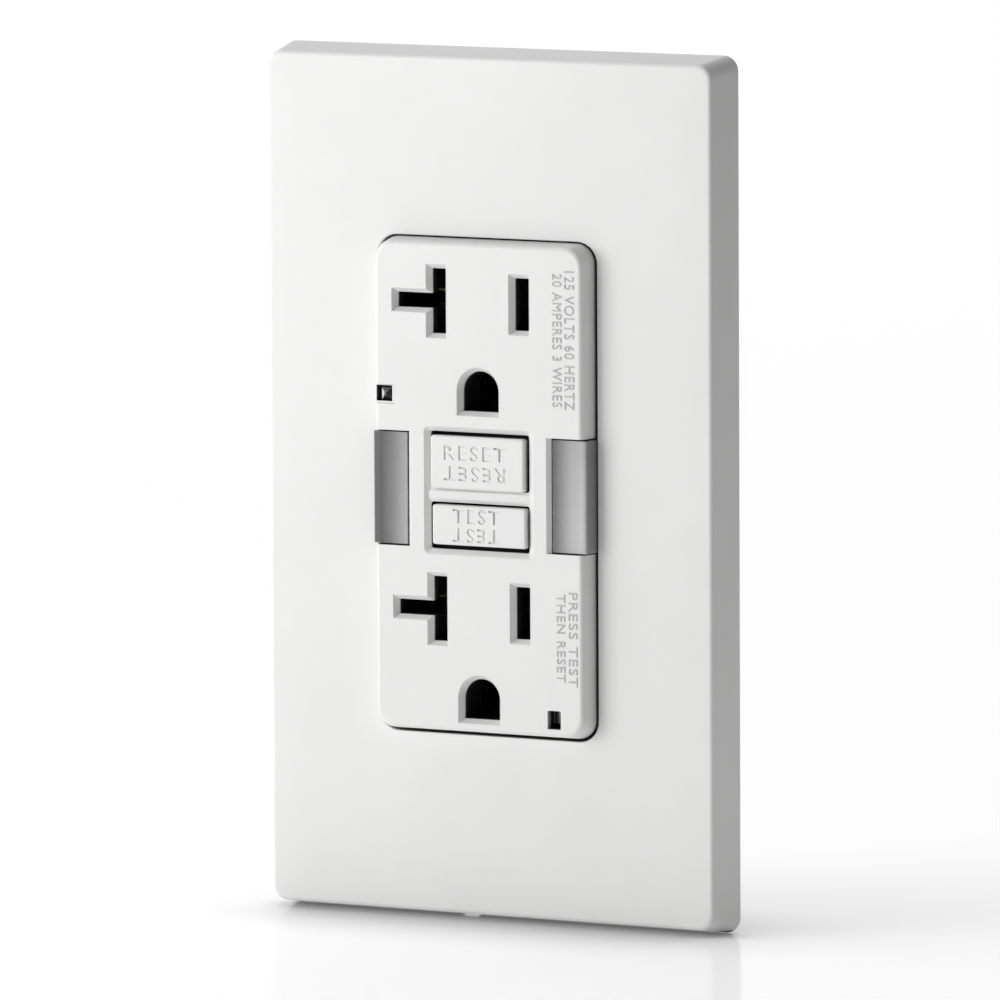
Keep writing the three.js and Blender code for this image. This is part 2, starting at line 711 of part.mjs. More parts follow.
function hotStrip() {
  const pieces = contactRail(1);
  const leafDepth = [CONTACT_FRONT, STRIP.front + 0.2];
  for (const lineZ of Object.values(OUTLET_LINES)) {
    for (const x of [BLADE_X - 1.1, BLADE_X + 1.1]) {
      pieces.push(box(about(x, 0.3), leafDepth, about(lineZ, 2.8)));
    }
  }
  return join(...pieces);
}

// The neutral leaves grip a blade that stands upright or lies across.
function neutralStrip() {
  const pieces = contactRail(-1);
  const leafDepth = [CONTACT_FRONT, STRIP.front + 0.2];
  for (const lineZ of Object.values(OUTLET_LINES)) {
    pieces.push(box([-5.55, -4.95], leafDepth, about(lineZ, 2.8)));
    pieces.push(box([-12.6, -8.4], [STRIP.front, STRIP.back], about(lineZ, 2.2)));
    for (const side of [-1, 1]) {
      pieces.push(box([-12.2, -7.2], leafDepth, about(lineZ + side * 1.1, 0.3)));
      pieces.push(box([-7.75, -7.15], leafDepth, about(lineZ + side * 2.35, 1.05)));
    }
  }
  return join(...pieces);
}

function groundContact(lineZ) {
  const centre = [0, lineZ - GROUND_DROP];
  const [x, z] = centre;
  const bore = 2.55;
  const sleeve = ring('y', centre, bore + 0.6, bore, [CONTACT_FRONT, 4.2], 24);
  const flange = cut(
    box(about(x, 3.7), [PLAY, 0.85], [z - 3.2, z + 4.1]),
    bar('y', centre, bore, [-PAST, 2], 24),
  );
  const slitDepth = [CONTACT_FRONT - PAST, CONTACT_FRONT + 1.1];
  const slits = [
    box(about(x, 4), slitDepth, about(z, 0.35)),
    box(about(x, 0.35), slitDepth, about(z, 4)),
  ];
  return cut(join(sleeve, flange), ...slits);
}

// A leaf spring with a round contact near its tip.
function contactArm(side) {
  return join(
    box(onSide(side, 4.4, 8.4), ARM.y, [ARM.pivotZ, ARM.tipZ]),
    bar('y', [side * 6.4, ARM.contactZ], 1.3, [ARM.y[0] - 0.7, ARM.y[0] + 0.1], 14),
  );
}

// The bar that feeds an arm, turned back through both transformers.
function lineConductor(side) {
  const front = ARM.y[0] + 0.1;
  const foot = [TRANSFORMER.z - 0.9, TRANSFORMER.z + 0.9];
  return join(
    box(onSide(side, 0.8, 8.4), [front, ARM.y[1]], [foot[0], ARM.pivotZ - 0.3]),
    box(onSide(side, 0.8, 2.2), [front, LEGS_BACK], foot),
  );
}

function testArm() {
  return join(
    box(about(0, 2), [2.5, 2.9], [-14.5, -3.2]),
    box(about(0, 2), [2.5, 3.9], [-14.9, -14.3]),
  );
}

function contacts() {
  add('hot_contact_strip', hotStrip(), 'brass');
  add('neutral_contact_strip', neutralStrip(), 'brass');
  for (const [name, lineZ] of Object.entries(OUTLET_LINES)) {
    add(`ground_contact_${name}`, groundContact(lineZ), 'brass');
  }
  for (const [pole, side] of Object.entries(TERMINAL_SIDES)) {
    add(`contact_arm_${pole}`, contactArm(side), 'copper');
    add(`line_conductor_${pole}`, lineConductor(side), 'copper');
  }
  add('test_arm', testArm(), 'copper');
}

// ---------- solenoid and latch ----------

function bobbin() {
  const axis = [0, COIL.y];
  const { bottom, top, tube, bore, flange } = COIL;
  const solidBobbin = join(
    bar('z', axis, flange, [bottom - 1.1, bottom - 0.1], 24),
    bar('z', axis, tube, [bottom - 0.6, top + 0.6], 20),
    bar('z', axis, flange, [top + 0.1, top + 1.1], 24),
  );
  return cut(solidBobbin, bar('z', axis, bore, [bottom - 2, top + 2], 20));
}

function yoke() {
  const across = [-5, 7.2];
  const depth = [10.6, 21];
  const low = COIL.bottom - 2.2;
  const high = COIL.top + 2.2;
  const frame = join(
    box(across, depth, [low, low + 1]),
    box([6.2, 7.2], depth, [low + 0.6, high - 0.6]),
    box(across, depth, [high - 1, high]),
  );
  return cut(frame, bar('z', [0, COIL.y], 2.3, [low - PAST, high + PAST], 20));
}

function plunger() {
  const axis = [0, COIL.y];
  return join(bar('z', axis, 1.8, [7.8, 29], 20), bar('z', axis, 2.7, [28.3, 29.5], 20));
}

// The block that lifts both contact arms, slotted for the latch that rides in it.
// Its middle is set back so that it clears the tray when it has risen.
function lifter() {
  const front = 9.8;
  return cut(
    box(about(0, 8.6), [front, 13], [1, 6.4]),
    box(about(0, 3.9), [front - PAST, front + 0.15], [0, 8]),
    bar('y', [0, RESET_AXIS_Z], PIN_RADIUS + 0.15, [9, 14], 16),
    box(about(0, 3.3), [11.05, 11.95], [0, 8]),
    box(about(0, 2.4), [11.5, 14], [5.0, 8]),
  );
}

function latchPlate() {
  const front = 11.15;
  const hole = roundedOutline(2.9, 4.6, 1.4, 4, [0, RESET_AXIS_Z + 0.8]);
  const plate = join(
    box(about(0, 3.2), [front, 11.85], [0.2, 7.6]),
    box(about(0, 2), [front, 17.2], [6.9, 7.6]),
  );
  return cut(plate, slab(hole, [front - PAST, 13]));
}

function tripMechanism() {
  const axis = [0, COIL.y];
  add('solenoid_bobbin', bobbin(), 'graphite');
  add('solenoid_coil', ring('z', axis, COIL.outer, COIL.tube + 0.1, [COIL.bottom, COIL.top], 28), 'copper');
  add('solenoid_yoke', yoke(), 'zinc');
  add('plunger', plunger(), 'zinc');
  add('plunger_spring', spring('z', axis, 2.25, 0.2, [23.7, 28.2], 4), 'zinc');
  add('lifter', lifter(), 'white');
  add('latch_plate', latchPlate(), 'zinc');
}

// ---------- electronics ----------

// The board with a resistor and a smoothing capacitor soldered to it.
function circuitBoard() {
  const { front, back, halfWidth, halfHeight } = BOARD;
  const rooted = front + 0.2;
  const resistorY = front - 2.4;
  const resistorX = 11.2;
  return join(
    box(about(0, halfWidth), [front, back], about(0, halfHeight)),
    bar('z', [resistorX, resistorY], 1.5, [-5, 3], 16),
    box(about(resistorX, 0.3), [resistorY, rooted], [-5.8, -4.8]),
    box(about(resistorX, 0.3), [resistorY, rooted], [2.8, 3.8]),
    bar('y', [resistorX, -26.6], 2.9, [12, rooted], 20),
  );
}

function controlChip() {
  const legY = 20.1;
  const pieces = [box([-12.6, -8.4], [19.4, 21], [-4, 5])];
  for (let i = 0; i < 4; i += 1) {
    const legZ = about(-3 + i * 2.33, 0.25);
    pieces.push(box([-13.6, -7.4], [legY, legY + 0.3], legZ));
    pieces.push(box([-13.6, -13.3], [legY, LEGS_BACK], legZ));
    pieces.push(box([-7.7, -7.4], [legY, LEGS_BACK], legZ));
  }
  return join(...pieces);
}

function varistor() {
  const legDepth = [19, LEGS_BACK];
  return join(
    bar('x', [15.4, 18], 4.8, [-14.4, -11.2], 24),
    box([-14.2, -13.7], legDepth, [15.2, 15.8]),
    box([-11.9, -11.4], legDepth, [20.2, 20.8]),
  );
}

function electronics() {
  add('circuit_board', circuitBoard(), 'board');
  add('control_chip', controlChip(), 'graphite');
  const depths = { sensing: [10.4, 15.2], grounding: [15.6, 20.4] };
  for (const [name, depth] of Object.entries(depths)) {
    const core = ring('y', [0, TRANSFORMER.z], TRANSFORMER.outer, TRANSFORMER.inner, depth, 32);
    add(`${name}_transformer`, core, 'copper');
  }
  add('varistor', varistor(), 'blue');
}

wallplate();
subplate();
faceCover();
buttons();
guideLights();
strap();
middleHousing();
rearHousing();
bodyScrews();
terminals();
contacts();
tripMechanism();
electronics();

export default device;
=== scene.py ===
"""Looks of the ground-fault outlet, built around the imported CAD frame.

Sizes are written in millimetres and turned into metres as meshes are made.
+X is right, +Z is up and +Y goes into the wall.
"""

import json
import math

import bmesh
import bpy
from mathutils import Matrix, Vector


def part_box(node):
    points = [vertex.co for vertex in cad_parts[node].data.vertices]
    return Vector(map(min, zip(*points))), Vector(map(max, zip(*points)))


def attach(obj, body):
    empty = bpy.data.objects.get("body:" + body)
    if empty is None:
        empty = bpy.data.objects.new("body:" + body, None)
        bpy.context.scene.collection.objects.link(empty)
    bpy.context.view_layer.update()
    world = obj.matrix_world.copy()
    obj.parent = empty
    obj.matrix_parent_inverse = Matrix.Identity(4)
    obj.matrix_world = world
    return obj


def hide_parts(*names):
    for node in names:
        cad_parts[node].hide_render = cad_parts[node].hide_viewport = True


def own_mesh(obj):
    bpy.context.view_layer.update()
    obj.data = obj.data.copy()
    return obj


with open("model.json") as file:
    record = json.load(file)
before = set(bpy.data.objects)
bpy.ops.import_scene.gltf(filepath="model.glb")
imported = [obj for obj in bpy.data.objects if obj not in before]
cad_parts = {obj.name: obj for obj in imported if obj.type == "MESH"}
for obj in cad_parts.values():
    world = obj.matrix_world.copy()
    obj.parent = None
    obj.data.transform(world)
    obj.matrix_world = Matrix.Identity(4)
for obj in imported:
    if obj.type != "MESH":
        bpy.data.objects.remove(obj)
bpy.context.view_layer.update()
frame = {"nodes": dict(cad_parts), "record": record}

MM = 0.001


def box_mm(node):
    """A CAD node's lowest and highest corners, in millimetres."""
    low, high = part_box(node)
    return low / MM, high / MM


PLATE_LOW, PLATE_HIGH = box_mm("wallplate")
COVER_LOW, COVER_HIGH = box_mm("face_cover")
BODY_BACK = box_mm("rear_housing")[1].y

FACE_Y = COVER_LOW.y
FLANGE_BACK = COVER_HIGH.y
FLANGE_FRONT = -3.1
PLATE_Y = PLATE_LOW.y
FLOOR_Z = PLATE_LOW.z

# How much smaller the wallplate's front is than its rim at the wall, on each side.
FRONT_INSET = 1.0

# Width, height and corner radius: the plate's opening, and the face block where it passes the plate.
OPENING = (33.6, 66.85, 2.9)
OPENING_CENTRE = (-0.15, 0.02)
BLOCK = (32.5, 66.3, 2.6)
BLOCK_CENTRE = (0, 0.15)
BLOCK_TAPER = 0.4
FACE_WALL = 2.0

# The two outlets, and the sloping mouths of their slots.
BLADE_X = 6.35
OUTLET_LINES = (25.0, -16.35)
GROUND_DROP = 11.87
CHAMFER = 0.62
CHAMFER_DEPTH = 0.83

# Lowest and highest Z of each button's cap, hole and hidden flange, and the middle of its cap in X.
BUTTONS = {
    "reset": {"cap": (-0.05, 7.07), "hole": (-0.12, 7.55), "flange": (0.05, 7.95), "middle": -0.1},
    "test": {"cap": (-7.62, -2.24), "hole": (-8.25, -1.95), "flange": (-8.65, -2.34), "middle": 0.15},
}
BUTTON_HALF_WIDTH = 7.18

# Beyond these distances from its middle lie the face block's outer sides.
HOLES_HALF_X = 15.4
HOLES_HALF_Z = 31.65


# ------------------------ camera

CAMERA_AZIMUTH = math.radians(29.64)
CAMERA_ELEVATION = math.radians(6.137)
CAMERA_ROLL = math.radians(-0.268)
CAMERA_DISTANCE = 1.6872
CAMERA_SLIDE = (-0.00152, -0.00221)
CAMERA_LENS = 453.1


def add_camera():
    """The camera of the photograph, aimed beside the origin rather than shifted."""
    az, el = CAMERA_AZIMUTH, CAMERA_ELEVATION
    back = Vector((math.sin(az) * math.cos(el), -math.cos(az) * math.cos(el), math.sin(el)))
    level = Vector((math.cos(az), math.sin(az), 0))
    rise = back.cross(level)
    right = math.cos(CAMERA_ROLL) * level + math.sin(CAMERA_ROLL) * rise
    up = back.cross(right)
    data = bpy.data.cameras.new("camera")
    data.lens = CAMERA_LENS
    data.sensor_width = 36
    data.clip_start = 0.05
    data.clip_end = 50
    camera = bpy.data.objects.new("camera", data)
    bpy.context.scene.collection.objects.link(camera)
    place = back * CAMERA_DISTANCE + right * CAMERA_SLIDE[0] + up * CAMERA_SLIDE[1]
    turn = Matrix((right, up, back)).transposed().to_4x4()
    camera.matrix_world = Matrix.Translation(place) @ turn
    bpy.context.scene.camera = camera


add_camera()


# ------------------------ materials


class Nodes:
    """A short way to write a material's node tree."""

    def __init__(self, name):
        self.material = bpy.data.materials.new(name)
        self.material.use_nodes = True
        self.tree = self.material.node_tree
        self.tree.nodes.clear()
        self.shader = self.add("ShaderNodeBsdfPrincipled")
        output = self.add("ShaderNodeOutputMaterial")
        self.link(self.shader.outputs["BSDF"], output.inputs["Surface"])
        self.place = self.add("ShaderNodeTexCoord").outputs["Object"]

    def add(self, kind, **settings):
        node = self.tree.nodes.new(kind)
        for key, value in settings.items():
            setattr(node, key, value)
        return node

    def link(self, source, target):
        self.tree.links.new(source, target)

    def noise(self, scale, detail=3.0, roughness=0.55, stretch=(1, 1, 1)):
        mapping = self.add("ShaderNodeMapping")
        mapping.inputs["Scale"].default_value = stretch
        self.link(self.place, mapping.inputs["Vector"])
        node = self.add("ShaderNodeTexNoise")
        node.inputs["Scale"].default_value = scale
        node.inputs["Detail"].default_value = detail
        node.inputs["Roughness"].default_value = roughness
        self.link(mapping.outputs["Vector"], node.inputs["Vector"])
        return node.outputs["Fac"]

    def spread(self, source, low, high, start=0.3, end=0.7):
        """Turns start to end of the source into low to high, and stays there beyond."""
        node = self.add("ShaderNodeMapRange")
        node.inputs["From Min"].default_value = start
        node.inputs["From Max"].default_value = end
        node.inputs["To Min"].default_value = low
        node.inputs["To Max"].default_value = high
        self.link(source, node.inputs["Value"])
        return node.outputs["Result"]

    def combine(self, operation, first, second):
        node = self.add("ShaderNodeMath", operation=operation)
        self.link(first, node.inputs[0])
        self.link(second, node.inputs[1])
        return node.outputs[0]

    def times(self, first, second):
        return self.combine("MULTIPLY", first, second)

    def larger(self, first, second):
        return self.combine("MAXIMUM", first, second)

    def blend(self, factor, first, second):
        """The first colour where the factor is 0, the second where it is 1."""
        node = self.add("ShaderNodeMix", data_type="RGBA")
        for key, value in ((6, first), (7, second)):
            if isinstance(value, tuple):
                node.inputs[key].default_value = (*value, 1)
            else:
                self.link(value, node.inputs[key])
        self.link(factor, node.inputs[0])
        return node.outputs[2]

    def edges(self, width_mm=0.12):
        """Rises from 0 on flat stretches to 1 along edges."""
        rounded = self.add("ShaderNodeBevel", samples=4)
        rounded.inputs["Radius"].default_value = width_mm * MM
        flat = self.add("ShaderNodeNewGeometry")
        agree = self.add("ShaderNodeVectorMath", operation="DOT_PRODUCT")
        self.link(rounded.outputs["Normal"], agree.inputs[0])
        self.link(flat.outputs["Normal"], agree.inputs[1])
        return self.spread(agree.outputs["Value"], 1, 0, 0.86, 0.99)

    def openness(self, reach_mm=4.0, closed=0.14, open_from=0.5, least=0.0):
        """A mask for painted shade: falls from 1 in the open to the least value deep in gaps and holes."""
        shade = self.add("ShaderNodeAmbientOcclusion", samples=8)
        shade.inputs["Distance"].default_value = reach_mm * MM
        return self.spread(shade.outputs["AO"], least, 1, closed, open_from)

    def along(self, axis):
        """The position along an axis, in metres."""
        parts = self.add("ShaderNodeSeparateXYZ")
        self.link(self.place, parts.inputs["Vector"])
        return parts.outputs[axis]

    def ramp(self, source, stops):
        """Greys by position: stops are (position, shade) pairs from 0 to 1."""
        node = self.add("ShaderNodeValToRGB")
        elements = node.color_ramp.elements
        while len(elements) < len(stops):
            elements.new(0.5)
        for element, (position, shade) in zip(elements, stops):
            element.position = position
            element.color = (shade, shade, shade, 1)
        self.link(source, node.inputs["Fac"])
        return node.outputs["Color"]

    def bump(self, height, depth_mm, strength=1.0, normal=None):
        node = self.add("ShaderNodeBump")
        node.inputs["Strength"].default_value = strength
        node.inputs["Distance"].default_value = depth_mm * MM
        self.link(height, node.inputs["Height"])
        if normal is not None:
            self.link(normal, node.inputs["Normal"])
        return node.outputs["Normal"]

    def finish(self, colour=None, roughness=None, normal=None, **fixed):
        """Links the shader's main sockets and sets the fixed ones."""
        for socket, source in (("Base Color", colour), ("Roughness", roughness), ("Normal", normal)):
            if source is not None:
                self.link(source, self.shader.inputs[socket])
        for socket, value in fixed.items():
            self.shader.inputs[socket.replace("_", " ")].default_value = value
        return self.material


POLISHED_EDGE = 1.04
RUBBED_EDGE = 1.12
# Share of a colour left under the deepest painted shade in gaps and holes.
DEEP_SHADE = 0.01
# Depths between which the walls of the face's holes are painted black as shade.
HOLE_DARK_FROM = FACE_Y + CHAMFER_DEPTH - 0.02
HOLE_DARK_AT = FACE_Y + 1.1


def scaled(colour, share):
    """A colour made lighter or darker, and at most white."""
    return tuple(min(1.0, part * share) for part in colour)


def hole_light(make):
    """Painted shade mask: 1 on the outside of the face block, 0 on the walls deep inside its holes, which are
    painted black.
    """
    depth = make.spread(make.along("Y"), 1, 0, HOLE_DARK_FROM * MM, HOLE_DARK_AT * MM)
    outside = None
    for axis, edge in (("X", HOLES_HALF_X), ("Z", HOLES_HALF_Z)):
        size = make.add("ShaderNodeMath", operation="ABSOLUTE")
        make.link(make.along(axis), size.inputs[0])
        beyond = make.spread(size.outputs[0], 0, 1, edge * MM, (edge + 0.1) * MM)
        outside = beyond if outside is None else make.larger(outside, beyond)
    return make.larger(depth, outside)


def moulded_plastic(name, shade, deep, rough, grain_mm, grain_scale=2600, dark_holes=False, reach_mm=4.0):
    """Moulded plastic: a fine spark-eroded grain, faint cloudiness, polished edges and painted shade in gaps
    and holes.
    """
    make = Nodes(name)
    cloud = make.noise(90, 4)
    grain = make.noise(grain_scale, 2)
    swirl = make.noise(22, 3)
    tint = make.blend(make.spread(cloud, 0, 1), deep, shade)
    worn = make.blend(make.edges(), tint, scaled(shade, POLISHED_EDGE))
    light = make.openness(reach_mm)
    # The walls deep inside the face's holes are painted black as shade.
    if dark_holes:
        light = make.times(light, hole_light(make))
    # Painted shade: the colour falls towards near black in gaps and holes.
    gap_shaded = make.blend(light, scaled(shade, DEEP_SHADE), worn)
    gloss = make.larger(make.spread(swirl, rough - 0.05, rough + 0.06), make.spread(light, 1, 0, 0, 1))
    relief = make.bump(swirl, 0.03, 0.35, make.bump(grain, grain_mm, 0.5))
    return make.finish(gap_shaded, gloss, relief, Specular_IOR_Level=0.5)


# Painted light and shade across both lenses, as pairs of X and grey, standing in for light passing through
# them. Each lens is dark at its left and paler to its right.
LENS_SPAN = 18.0
LENS_PAINTED_LIGHT = (
    (-16.3, 0.13), (-15.45, 0.12), (-15.25, 0.09), (-13.8, 0.22), (-12.2, 0.40), (-11.0, 0.52),
    (11.2, 0.12), (12.5, 0.33), (14.0, 0.55), (15.6, 0.62), (16.2, 0.46), (16.42, 0.30),
)
# Heights between which the painted shade darkens each lens towards its top.
LENS_DIM_FROM = 9.0
LENS_DIM_TO = -4.0


def lens_shade(make):
    """Painted light and shade across each lens, standing in for light passing through it, a little darker
    towards its top.
    """
    across = make.spread(make.along("X"), 0, 1, -LENS_SPAN * MM, LENS_SPAN * MM)
    stops = [((x + LENS_SPAN) / (2 * LENS_SPAN), shade) for x, shade in LENS_PAINTED_LIGHT]
    glow = make.ramp(across, stops)
    fall = make.spread(make.along("Z"), 0, 1, LENS_DIM_FROM * MM, LENS_DIM_TO * MM)
    cloud = make.spread(make.noise(150, 3), 0.0, 0.2)
    depth = make.add("ShaderNodeMath", operation="MULTIPLY_ADD")
    make.link(fall, depth.inputs[0])
    depth.inputs[1].default_value = 0.8
    make.link(cloud, depth.inputs[2])
    shaded = make.add("ShaderNodeMix", data_type="RGBA", blend_type="MULTIPLY")
    shaded.inputs[0].default_value = 1.0
    make.link(glow, shaded.inputs[6])
    make.link(make.blend(depth.outputs[0], (0.78, 0.78, 0.785), (1.0, 1.0, 1.0)), shaded.inputs[7])
    return shaded.outputs[2]


def smoke_lens():
    """Translucent light-guide plastic with faint moulded flutes, coloured with painted light and shade."""
    make = Nodes("smoke_lens")
    shaded = lens_shade(make)
    flutes = make.add("ShaderNodeTexWave", wave_type="BANDS", bands_direction="X")
    flutes.inputs["Scale"].default_value = 420
    flutes.inputs["Distortion"].default_value = 0.4
    make.link(make.place, flutes.inputs["Vector"])
    # Painted shade: the lens goes black in its gaps.
    tint = make.blend(make.openness(2.5, 0.0, 0.25), (0.01, 0.01, 0.01), shaded)
    gloss = make.spread(make.noise(60, 2), 0.22, 0.34)
    relief = make.bump(flutes.outputs["Fac"], 0.012, 0.2, make.bump(make.noise(1800, 2), 0.006, 0.3))
    return make.finish(
        tint, gloss, relief, Specular_IOR_Level=0.3,
        Subsurface_Weight=0.5, Subsurface_Radius=(1, 1, 1), Subsurface_Scale=0.0015)


def clear_lens():
    """Clear moulded plastic over a dark chamber, coloured nearly black, with painted highlights: facets
    facing left white and facets facing up grey.
    """
    make = Nodes("clear_lens")
    facing = make.add("ShaderNodeNewGeometry")
    sides = make.add("ShaderNodeSeparateXYZ")
    make.link(facing.outputs["True Normal"], sides.inputs["Vector"])
    # Painted light: white on facets facing left, grey on facets facing up.
    left_facet_highlight = make.spread(sides.outputs["X"], 0, 1, -0.2, -0.5)
    upper_facet_light = make.spread(sides.outputs["Z"], 0, 1, 0.2, 0.6)
    cloud = make.blend(make.spread(make.noise(900, 3), 0, 1), (0.012, 0.012, 0.014), (0.03, 0.03, 0.034))
    dull = make.blend(upper_facet_light, cloud, (0.16, 0.16, 0.165))
    tint = make.blend(left_facet_highlight, dull, (0.93, 0.93, 0.93))
    gloss = make.spread(make.noise(120, 2), 0.05, 0.12)
    relief = make.bump(make.noise(900, 2), 0.01, 0.3)
    return make.finish(tint, gloss, relief, IOR=1.49)


# Reach, and the two openness levels between which metal goes from painted shade to its own colour.
METAL_SHADE_OPENNESS = (6.0, 0.36, 0.72)


def plated_metal(name, shade, deep, rough, stretch=(1, 1, 14)):
    """Plated or rolled sheet metal: fine drawn lines, cloudy plating, bright edges and painted shade in gaps.
    """
    make = Nodes(name)
    lines = make.noise(240, 4, 0.6, stretch)
    cloud = make.noise(140, 4)
    pits = make.noise(1500, 2)
    tint = make.blend(make.spread(cloud, 0, 1), deep, shade)
    worn = make.blend(make.edges(), tint, scaled(shade, RUBBED_EDGE))
    # Painted shade: near black in gaps and holes.
    gap_shaded = make.blend(make.openness(*METAL_SHADE_OPENNESS), scaled(deep, DEEP_SHADE), worn)
    gloss = make.spread(lines, rough - 0.08, rough + 0.12)
    relief = make.bump(pits, 0.006, 0.4, make.bump(lines, 0.012, 0.35))
    return make.finish(gap_shaded, gloss, relief, Metallic=1.0)


def solder_mask():
    """Green laminate: traces show as raised lines under a glossy mask."""
    make = Nodes("board_green")
    traces = make.add("ShaderNodeTexBrick", offset=0.35, squash=1.0)
    turn = make.add("ShaderNodeMapping")
    turn.inputs["Rotation"].default_value = (math.pi / 2, 0, 0)
    make.link(make.place, turn.inputs["Vector"])
    traces.inputs["Scale"].default_value = 190
    traces.inputs["Mortar Size"].default_value = 0.03
    make.link(turn.outputs["Vector"], traces.inputs["Vector"])
    tint = make.blend(traces.outputs["Fac"], (0.015, 0.16, 0.075), (0.03, 0.27, 0.12))
    gloss = make.spread(make.noise(300, 3), 0.2, 0.34)
    relief = make.bump(traces.outputs["Fac"], 0.03, 0.5, make.bump(make.noise(2200, 2), 0.01, 0.3))
    return make.finish(tint, gloss, relief, Coat_Weight=0.3)


def wound_copper():
    """Copper with an enamel gloss, cloudy and slightly darkened, with painted shade in gaps."""
    make = Nodes("copper")
    tarnish = make.noise(170, 4)
    draw = make.noise(500, 3, 0.5, (1, 9, 1))
    tint = make.blend(make.spread(tarnish, 0, 1), (0.42, 0.17, 0.075), (0.78, 0.37, 0.19))
    worn = make.blend(make.edges(), tint, (0.9, 0.5, 0.3))
    # Painted shade: near black in gaps and holes.
    gap_shaded = make.blend(make.openness(*METAL_SHADE_OPENNESS), (0.004, 0.002, 0.001), worn)
    gloss = make.spread(draw, 0.2, 0.42)
    return make.finish(gap_shaded, gloss, make.bump(draw, 0.01, 0.4), Metallic=1.0)


def white(name, **settings):
    """The device's white plastic, with an almost smooth finish."""
    return moulded_plastic(name, (0.86, 0.86, 0.855), (0.835, 0.835, 0.83), 0.36, 0.006, **settings)


MATERIALS = {
    "white_plastic": white("white_plastic"),
    # The face and the button caps, with the walls deep in their holes painted black as shade.
    "face_white": white("face_white", dark_holes=True),
    "plate_white": white("plate_white", reach_mm=0.9),
    # The raised letters are moulded in the white plastic; their grey is painted shade.
    "lettering_painted_shade": moulded_plastic("lettering_painted_shade", (0.52, 0.52, 0.52), (0.46, 0.46, 0.46), 0.4, 0.004),
    "smoke_lens": smoke_lens(),
    "clear_lens": clear_lens(),
    "zinc_steel": plated_metal("zinc_steel", (0.74, 0.75, 0.77), (0.58, 0.6, 0.62), 0.3),
    "brass": plated_metal("brass", (0.83, 0.61, 0.27), (0.66, 0.45, 0.18), 0.28),
    "green_screw": plated_metal("green_screw", (0.09, 0.42, 0.2), (0.04, 0.26, 0.11), 0.32, (1, 1, 4)),
    "dark_housing": moulded_plastic(
        "dark_housing", (0.035, 0.036, 0.039), (0.022, 0.023, 0.025), 0.46, 0.03, 1500),
    "chip_black": moulded_plastic("chip_black", (0.02, 0.02, 0.022), (0.012, 0.012, 0.013), 0.55, 0.02, 3200),
    "blue_coating": moulded_plastic("blue_coating", (0.03, 0.13, 0.42), (0.02, 0.09, 0.32), 0.3, 0.03, 900),
    "board_green": solder_mask(),
    "copper": wound_copper(),
    "amber_lens": moulded_plastic("amber_lens", (0.8, 0.7, 0.5), (0.7, 0.58, 0.36), 0.2, 0.01),
}


# ------------------------ mesh helpers


def rounded_loop(half_x, half_z, radius, y, centre=(0, 0), steps=8):
    """Corner points of a rounded rectangle in the plane of a given depth, in millimetres."""
    loop = []
    for quarter, (sx, sz) in enumerate(((1, 1), (-1, 1), (-1, -1), (1, -1))):
        for i in range(steps + 1):
            angle = (quarter + i / steps) * math.pi / 2
            x = centre[0] + sx * (half_x - radius) + radius * math.cos(angle)
            z = centre[1] + sz * (half_z - radius) + radius * math.sin(angle)
            loop.append(Vector((x, y, z)))
    return loop


def solid_from_rows(name, rows):
    """A closed mesh object skinned over loops with equal point counts."""
    mesh = bmesh.new()
    lines = [[mesh.verts.new(point * MM) for point in row] for row in rows]
    count = len(rows[0])
    for first, second in zip(lines, lines[1:]):
        for i in range(count):
            j = (i + 1) % count
            mesh.faces.new((first[i], first[j], second[j], second[i]))
    mesh.faces.new(lines[0])
    mesh.faces.new(lines[-1])
    return object_from_bmesh(name, mesh)


def object_from_bmesh(name, mesh):
    bmesh.ops.recalc_face_normals(mesh, faces=mesh.faces)
    data = bpy.data.meshes.new(name)
    mesh.to_mesh(data)
    mesh.free()
    made = bpy.data.objects.new(name, data)
    bpy.context.scene.collection.objects.link(made)
    return made


def block(name, low, high, radius=0.0):
    """A box between two corners in millimetres, its four edges along Y rounded if asked."""
    if radius:
        half_x, half_z = (high[0] - low[0]) / 2, (high[2] - low[2]) / 2
        centre = ((high[0] + low[0]) / 2, (high[2] + low[2]) / 2)
        rows = [rounded_loop(half_x, half_z, radius, y, centre, 6) for y in (low[1], high[1])]
    else:
        corners = [(high[0], high[2]), (low[0], high[2]), (low[0], low[2]), (high[0], low[2])]
        rows = [[Vector((x, y, z)) for x, z in corners] for y in (low[1], high[1])]
    return solid_from_rows(name, rows)


def cut(target, cutters, operation="DIFFERENCE"):
    """Applies a boolean of each cutter to the target and removes the cutters."""
    for cutter in cutters:
        step = target.modifiers.new("cut", "BOOLEAN")
        step.operation = operation
        step.solver = "EXACT"
        step.object = cutter
        graph = bpy.context.evaluated_depsgraph_get()
        result = bpy.data.meshes.new_from_object(target.evaluated_get(graph))
        target.modifiers.clear()
        old = target.data
        target.data = result
        bpy.data.meshes.remove(old)
        bpy.data.objects.remove(cutter)
    return target


WELD_DISTANCE_MM = 0.002


def soften(target, width_mm, segments=2, angle=32):
    """Rounds the sharp edges and keeps the flats flat in the shading."""
    for face in target.data.polygons:
        face.use_smooth = True
    weld = target.modifiers.new("weld", "WELD")
    weld.merge_threshold = WELD_DISTANCE_MM * MM
    bevel = target.modifiers.new("edge", "BEVEL")
    bevel.width = width_mm * MM
    bevel.segments = segments
    bevel.limit_method = "ANGLE"
    bevel.angle_limit = math.radians(angle)
    bevel.use_clamp_overlap = True
    weights = target.modifiers.new("weights", "WEIGHTED_NORMAL")
    weights.keep_sharp = True


def dress(piece, body, slot, replaced=(), material=None):
    """Gives a piece its material, the slot's own unless one is given, puts it on its body and hides the CAD
    nodes that it stands for.
    """
    piece.data.materials.clear()
    piece.data.materials.append(material or MATERIALS[slot])
    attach(piece, body)
    if replaced:
        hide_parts(*replaced)


CAP_SHARE = 0.7


